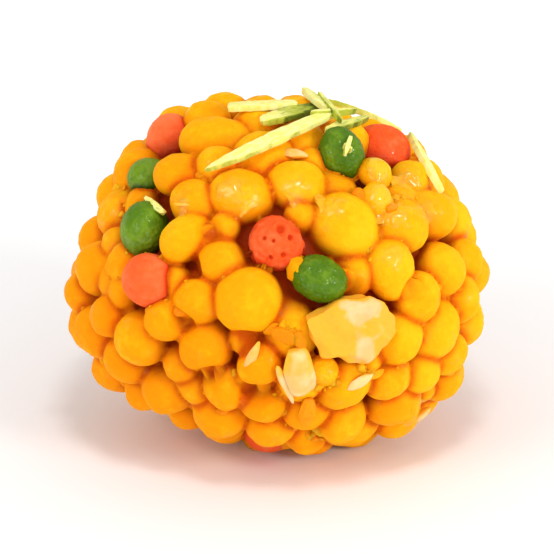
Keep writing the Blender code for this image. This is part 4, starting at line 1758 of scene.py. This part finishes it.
@dataclass
class Chips:
    """Seeds, splinters or flakes pressed a little into the drops."""

    name: str
    drop_field: DropField
    finish: NutFinish | BoondiFinish
    slot: Slot
    chips: tuple[Chip, ...]
    subdivisions: int = 5
    thickness_share: float = 0.62
    lumpiness: float = 0.06
    breaks: int = 7
    break_reaches: tuple[float, float] = (0.7, 0.95)
    bend_radius: float = 19 * MM
    seed: int = 21

    def _mesh(self, chip: Chip, lumps: Lumpiness, index: int, rng: np.random.Generator) -> MeshData:
        """One chip: a flat teardrop, broken off at its edges."""
        form = self.drop_field.form
        point = self.drop_field.laid([(chip.across * MM, chip.up * MM)], chip.lift * MM)[0]
        along, beside, normal = form.leaning_axes(form.outward(point), chip.lean)
        ball = MeshData.unit_ball(self.subdivisions)
        squared = np.sign(ball.points) * np.abs(ball.points) ** (1 - 0.5 * chip.blocky)
        headings = random_directions(rng, self.breaks)
        reaches = rng.uniform(*self.break_reaches, self.breaks) + 0.2 * chip.blocky
        local = broken(squared, headings, reaches)
        local = local * (1 + lumps.at(ball.points, np.full(len(ball.points), index)))[:, None]
        narrowing = 1 - chip.point * np.clip(local[:, 0], 0, 1) ** 2
        half_width = chip.half_width * MM
        lengths = local[:, 0] * chip.half_length * MM
        widths = local[:, 1] * half_width * narrowing
        heights = local[:, 2] * half_width * self.thickness_share - lengths**2 / self.bend_radius / 2
        points = point + np.outer(lengths, along) + np.outer(widths, beside) + np.outer(heights, normal)
        # low is the chip's underside: it sets where syrup stains the seeds, and for boondi flakes it is
        # painted shade under the flake.
        low = np.clip(0.5 - local[:, 2], 0, 1)
        marks = self.drop_field.marks(points, np.full(len(points), rng.uniform()), 0.6 * low)
        return MeshData(points, ball.faces, {"low": low, **marks})

    def build(self) -> bpy.types.Object:
        """Builds the chips and dresses them."""
        rng = np.random.default_rng(self.seed)
        lumps = Lumpiness(len(self.chips), height=self.lumpiness, seed=self.seed)
        parts = [self._mesh(chip, lumps, index, rng) for index, chip in enumerate(self.chips)]
        piece = MeshData.joined(parts).to_object(self.name, self.drop_field.form.middle)
        return dress(piece, self.finish.make(), self.slot, LADOO_NODE)


@dataclass
class PistachioSlivers:
    """Slivers of pistachio laid over the top, each bent along the ball, and a few small bits."""

    drop_field: DropField
    finish: PistachioFinish
    slivers: tuple[Sliver, ...] = (
        Sliver(-7.8, 11.4, 6.8, 18.2, 1.8, 0.4, ends=(0.05, 0.5), skin=(0.25, -0.05), edge=0.3),
        Sliver(-5.4, 18.4, 2.2, 18.8, 1.7, ends=(0.85, 0.5), edge=0.1),
        Sliver(-1.8, 16.8, 4.8, 18.6, 2.3, ends=(0.5, 0.5), skin=(0.0, 1.1), edge=0.5),
        Sliver(2.9, 20.4, 5.7, 18.0, 1.1, 0.5, ends=(0.5, 0.3), edge=0.2),
        Sliver(4.6, 20.5, 13.6, 15.9, 1.0, ends=(0.3, 0.2), skin=(0.45, -0.1), edge=0.3),
        Sliver(5.2, 15.8, 9.9, 17.3, 1.1, ends=(0.4, 0.3), skin=(0.3, 0.45), edge=0.4),
        Sliver(14.4, 15.6, 17.9, 9.1, 1.0, ends=(0.4, 0.15), skin=(0.4, -0.2), edge=0.1),
        Sliver(4.5, 19.9, 7.0, 16.8, 0.7, 0.9, ends=(0.4, 0.3), skin=(0.3, 0.5), edge=0.4),
        Sliver(3.6, 17.7, 8.6, 18.0, 0.6, 1.0, ends=(0.3, 0.3), skin=(0.1, 0.4), edge=0.4),
        Sliver(7.9, 15.0, 7.3, 13.2, 0.55, 0.3, ends=(0.7, 0.5), skin=(0.2, 0.3), edge=0.3),
        Sliver(7.2, 14.2, 8.0, 13.6, 0.45, 0.5, ends=(0.7, 0.5), skin=(0.1, 0.3), edge=0.3),
        Sliver(-14.1, 8.5, -12.2, 6.9, 0.8, 0.2, ends=(0.4, 0.7), skin=(0.1, 0.35), edge=0.2),
    )
    press: float = 0.2 * MM
    thickness: float = 0.75 * MM
    steps: int = 60
    bends: int = 2
    sides: int = 28
    squareness: float = 0.24
    raggedness: float = 0.07
    ragged_rates: tuple[int, ...] = (9, 23, 41, 13, 31, 57, 17, 29, 71)
    taper: float = 2.2
    closing_power: int = 40
    near_skin_from: float = 0.72
    far_skin_from: float = 0.85
    far_skin_share: float = 0.4
    seed: int = 14

    def _middles(self, sliver: Sliver) -> np.ndarray:
        """The points along the middle of a sliver, which bends one way only."""
        start = np.array((sliver.from_across, sliver.from_up)) * MM
        end = np.array((sliver.to_across, sliver.to_up)) * MM
        shares = np.linspace(0, 1, self.steps + 1)
        places = [tuple(start + (end - start) * share) for share in shares]
        laid = self.drop_field.laid(places, self.thickness / 2 - self.press + sliver.lift * MM)
        return polyval(shares, polyfit(shares, laid, self.bends)).T

    def _width_share(self, sliver: Sliver, share: float) -> float:
        """How much of the sliver's width is left at a place along it."""
        from_end = 1 - 2 * share
        left = sliver.ends[0] if from_end > 0 else sliver.ends[1]
        return 1 - (1 - left) * abs(from_end) ** self.taper

    def _at_edge(self, across: float) -> float:
        """How much of the green skin shows this far across a sliver, from -1 at its near edge to 1."""
        near = max(0.0, (-across - self.near_skin_from) / (1 - self.near_skin_from))
        far = max(0.0, (across - self.far_skin_from) / (1 - self.far_skin_from))
        return near + self.far_skin_share * far

    def _mesh(self, sliver: Sliver, rng: np.random.Generator) -> MeshData:
        """One sliver: a flat strip with crisp corners, ragged along its edges."""
        middles = self._middles(sliver)
        turns = (np.arange(self.sides) + 0.5) * math.tau / self.sides
        wide = np.sign(np.cos(turns)) * np.abs(np.cos(turns)) ** self.squareness
        tall = np.sign(np.sin(turns)) * np.abs(np.sin(turns)) ** self.squareness
        starts = rng.uniform(0, math.tau, len(self.ragged_rates))
        length = 0.0
        points = []
        marks: dict[str, list[float]] = {"skin": [], "along": [], "across": []}
        for step, middle in enumerate(middles):
            share = step / self.steps
            length += float(np.linalg.norm(middle - middles[max(step - 1, 0)]))
            direction = middles[min(step + 1, self.steps)] - middles[max(step - 1, 0)]
            normal = self.drop_field.form.outward(middle)
            side = np.cross(normal, direction)
            side = side / np.linalg.norm(side)
            closing = math.sqrt(max(0.0, 1 - abs(2 * share - 1) ** self.closing_power))
            waves = [math.sin(start + share * rate) for start, rate in zip(starts, self.ragged_rates)]
            near, tallness, far = (
                1 + self.raggedness * sum(waves[first : first + 3]) / 2 for first in (0, 3, 6)
            )
            half_width = sliver.width * MM / 2 * self._width_share(sliver, share) * closing
            half_thickness = self.thickness / 2 * closing * tallness
            skin = sliver.skin[0] + (sliver.skin[1] - sliver.skin[0]) * share
            for across, height in zip(wide, tall):
                reach = across * (half_width * (near if across < 0 else far))
                points.append(middle + side * reach + normal * half_thickness * height)
                marks["skin"].append(skin + sliver.edge * self._at_edge(across))
                marks["along"].append(length)
                marks["across"].append(reach)
        painted = {name: np.array(values) for name, values in marks.items()}
        return MeshData(np.array(points), tube_faces(self.steps + 1, self.sides), painted)

    def build(self) -> bpy.types.Object:
        """Builds the slivers and dresses them."""
        rng = np.random.default_rng(self.seed)
        parts = [self._mesh(sliver, rng) for sliver in self.slivers]
        piece = MeshData.joined(parts).to_object("pistachio_slivers", self.drop_field.form.middle)
        return dress(piece, self.finish.make(), Slot.PISTACHIO, LADOO_NODE)


@dataclass
class Crumbs:
    """Broken bits of boondi stuck in the creases, most of them in clusters.

    In the first few clusters they lie on the drops too.
    """

    drop_field: DropField
    finish: BoondiFinish
    count: int = 200
    share_in_clusters: float = 0.62
    smallest: float = 0.25 * MM
    largest: float = 0.9 * MM
    sink_share: float = 0.35
    room_share: float = 0.6
    lumpiness: float = 0.18
    length_shares: tuple[float, float] = (0.65, 1.3)
    spots: int = 14000
    spot_depth: float = 1.6 * MM
    floor_gap: float = 2 * MM
    crease_from: float = 0.42
    crumbly_from: float = 0.7
    crumbly_clusters: int = 6
    cluster_from: float = 0.35
    breaks: int = 7
    break_reaches: tuple[float, float] = (0.6, 0.95)
    subdivisions: int = 3
    clusters: tuple[Spot, ...] = (
        Spot(1.4, -6.2, 1.9),
        Spot(3.6, -2.9, 1.3),
        Spot(2.5, 2.2, 0.9),
        Spot(5.4, -11.4, 1.4),
        Spot(10.3, -10.6, 1.3),
        Spot(3.8, -17.6, 1.2),
        Spot(12.4, 9.4, 2.2),
        Spot(9.4, 9.6, 1.2),
        Spot(-14.2, -3.4, 1.4),
        Spot(-9.6, -0.6, 1.0),
    )
    seed: int = 33

    def _places(self, rng: np.random.Generator) -> np.ndarray:
        """Where the crumbs lie: in creases and crumbly places, clear of the floor and of dyed drops."""
        form = self.drop_field.form
        spots = self.drop_field.settle(form.even_points(self.spots, self.spot_depth), rounds=6)
        creases = self.drop_field.creases(spots)
        clear = (self.drop_field.off_dyed(spots) > self.smallest) & form.above_floor(spots, self.floor_gap)
        crumbly = np.max(form.closeness(spots, self.clusters[: self.crumbly_clusters]), axis=0)
        spots = spots[((creases > self.crease_from) | (crumbly > self.crumbly_from)) & clear]
        clustered = np.max(form.closeness(spots, self.clusters), axis=0) > self.cluster_from
        in_clusters = int(self.count * self.share_in_clusters)
        near = rng.permutation(np.flatnonzero(clustered))[:in_clusters]
        rest = rng.permutation(np.flatnonzero(~clustered))[: self.count - len(near)]
        return spots[np.concatenate((near, rest))]

    def build(self) -> bpy.types.Object:
        """Builds the crumbs and dresses them."""
        rng = np.random.default_rng(self.seed)
        form = self.drop_field.form
        places = self._places(rng)
        rooms = self.drop_field.off_dyed(places)
        ball = MeshData.unit_ball(self.subdivisions)
        lumps = Lumpiness(len(places), height=self.lumpiness, seed=self.seed)
        parts = []
        for index, place in enumerate(places):
            radius = self.smallest + (self.largest - self.smallest) * rng.uniform() ** 2
            radius = min(radius, rooms[index] * self.room_share)
            place = place - form.outward(place) * radius * self.sink_share
            turn = random_turn(rng)
            shape = turn * (radius * rng.uniform(*self.length_shares, 3)) @ turn.T
            headings = random_directions(rng, self.breaks)
            chipped = broken(ball.points, headings, rng.uniform(*self.break_reaches, self.breaks))
            waves = lumps.at(ball.points, np.full(len(ball.points), index))
            points = (chipped * (1 + waves)[:, None]) @ shape.T + place
            rise = (points - place) @ form.outward(place) / radius
            # Painted shade: each crumb is darker towards its underside.
            crease = 0.5 * rng.uniform() * np.clip(1 - rise, 0, 1)
            tint = np.full(len(points), rng.uniform())
            parts.append(MeshData(points, ball.faces, self.drop_field.marks(points, tint, crease)))
        piece = MeshData.joined(parts).to_object("boondi_crumbs", form.middle)
        return dress(piece, self.finish.make(), Slot.BOONDI, LADOO_NODE)


# ---------------------------------------------------------------------------------------------------------
# The studio
# ---------------------------------------------------------------------------------------------------------


@dataclass(frozen=True)
class SoftLight:
    """A square light on a stand: where it is, its size, its power and its colour."""

    name: str
    place: tuple[float, float, float]
    size: float
    power: float
    colour: Colour = (1.0, 1.0, 1.0)


@dataclass
class Studio:
    """A pale floor, soft lights and a long lens at the height of the shown side."""

    form: BallForm
    lights: tuple[SoftLight, ...] = (
        SoftLight("Key", (0.36, -0.30, 0.20), 0.13, 1.05, (1.0, 0.98, 0.95)),
        SoftLight("Fill", (-0.36, -0.28, 0.28), 0.24, 0.6),
        SoftLight("Top", (0.02, -0.2, 0.47), 0.09, 0.6),
    )
    sky: float = 0.68
    floor_half_size: float = 2.5
    floor_colour: Colour = (0.93, 0.93, 0.93)
    floor_rough: float = 0.85
    far_glow: float = 0.25
    far_range: tuple[float, float] = (0.02, 0.12)
    camera_distance: float = 1.0
    clip_start: float = 0.01
    lens: float = 595.0

    def build(self) -> None:
        """Sets up the floor, the lights, the sky and the camera."""
        self._floor()
        self._sky()
        for light in self.lights:
            self._light(light)
        self._camera()

    def _floor(self) -> None:
        """Lays the floor."""
        half = self.floor_half_size
        corners = [(-half, -half, 0), (half, -half, 0), (half, half, 0), (-half, half, 0)]
        mesh = bpy.data.meshes.new("Floor")
        mesh.from_pydata(corners, [], [(0, 1, 2, 3)])
        floor = bpy.data.objects.new("Floor", mesh)
        bpy.context.scene.collection.objects.link(floor)
        graph = Graph("Studio_Floor")
        length = graph.add("ShaderNodeVectorMath", {"operation": "LENGTH"}, {0: graph.place})
        far = Wire(graph, length.outputs[1]).eased(*self.far_range)
        sockets = {
            "Base Color": (*self.floor_colour, 1.0),
            "Roughness": self.floor_rough,
            "Emission Color": graph.blend(far, (0.0, 0.0, 0.0), (1.0, 1.0, 1.0)),
            "Emission Strength": self.far_glow,
        }
        mesh.materials.append(graph.finish(sockets))

    def _sky(self) -> None:
        """Lights everything evenly from all round."""
        world = bpy.data.worlds.new("Studio_Sky")
        world.use_nodes = True
        background = world.node_tree.nodes["Background"]
        background.inputs["Color"].default_value = (1.0, 1.0, 1.0, 1.0)
        background.inputs["Strength"].default_value = self.sky
        bpy.context.scene.world = world
        bpy.context.scene.view_settings.view_transform = "Standard"

    def _light(self, light: SoftLight) -> None:
        """Sets up one light."""
        lamp = bpy.data.lights.new(light.name, "AREA")
        lamp.size = light.size
        lamp.energy = light.power
        lamp.color = light.colour
        stand = bpy.data.objects.new(light.name, lamp)
        stand.location = light.place
        heading = Vector(self.form.middle) - Vector(light.place)
        stand.rotation_euler = heading.to_track_quat("-Z", "Y").to_euler()
        bpy.context.scene.collection.objects.link(stand)

    def _camera(self) -> None:
        """Sets up the camera, square to the shown side."""
        lens = bpy.data.cameras.new("Camera")
        lens.lens = self.lens
        lens.clip_start = self.clip_start
        camera = bpy.data.objects.new("Camera", lens)
        towards = Vector(self.form.seen_axes()[2])
        camera.location = Vector(self.form.middle) + towards * self.camera_distance
        camera.rotation_euler = (-towards).to_track_quat("-Z", "Y").to_euler()
        bpy.context.scene.collection.objects.link(camera)
        bpy.context.scene.camera = camera


def main() -> None:
    """Loads the solids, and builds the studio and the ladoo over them."""
    logging.basicConfig(level=logging.INFO, format="%(name)s: %(message)s")
    for thing in list(bpy.data.objects):
        bpy.data.objects.remove(thing)
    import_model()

    form = BallForm()
    Studio(form).build()
    drops = BallPacking(form).pack()
    drop_field = DropField(form, drops, Lumpiness(len(drops)))
    LOG.info("packed %d drops", len(drops))
    mass = BoondiMass(drop_field, PLAIN_FINISH)
    mass.build()
    SyrupFilm(mass, SYRUP_FINISH).build()
    reds = DyedDrops(drop_field, Dye.RED, RED_FINISH, Slot.BOONDI_RED, 0.015 * MM, roughest=2, pits=RED_PITS)
    reds.build()
    DyedDrops(drop_field, Dye.GREEN, GREEN_FINISH, Slot.BOONDI_GREEN, 0.026 * MM).build()
    CashewPieces(form, CASHEW_FINISH).build()
    Chips("melon_seeds", drop_field, SEED_FINISH, Slot.SEED, SEED_CHIPS).build()
    Chips("boondi_flakes", drop_field, CRUMB_FINISH, Slot.BOONDI, BOONDI_FLAKES).build()
    PistachioSlivers(drop_field, PistachioFinish()).build()
    Crumbs(drop_field, CRUMB_FINISH).build()


if __name__ == "__main__":
    main()
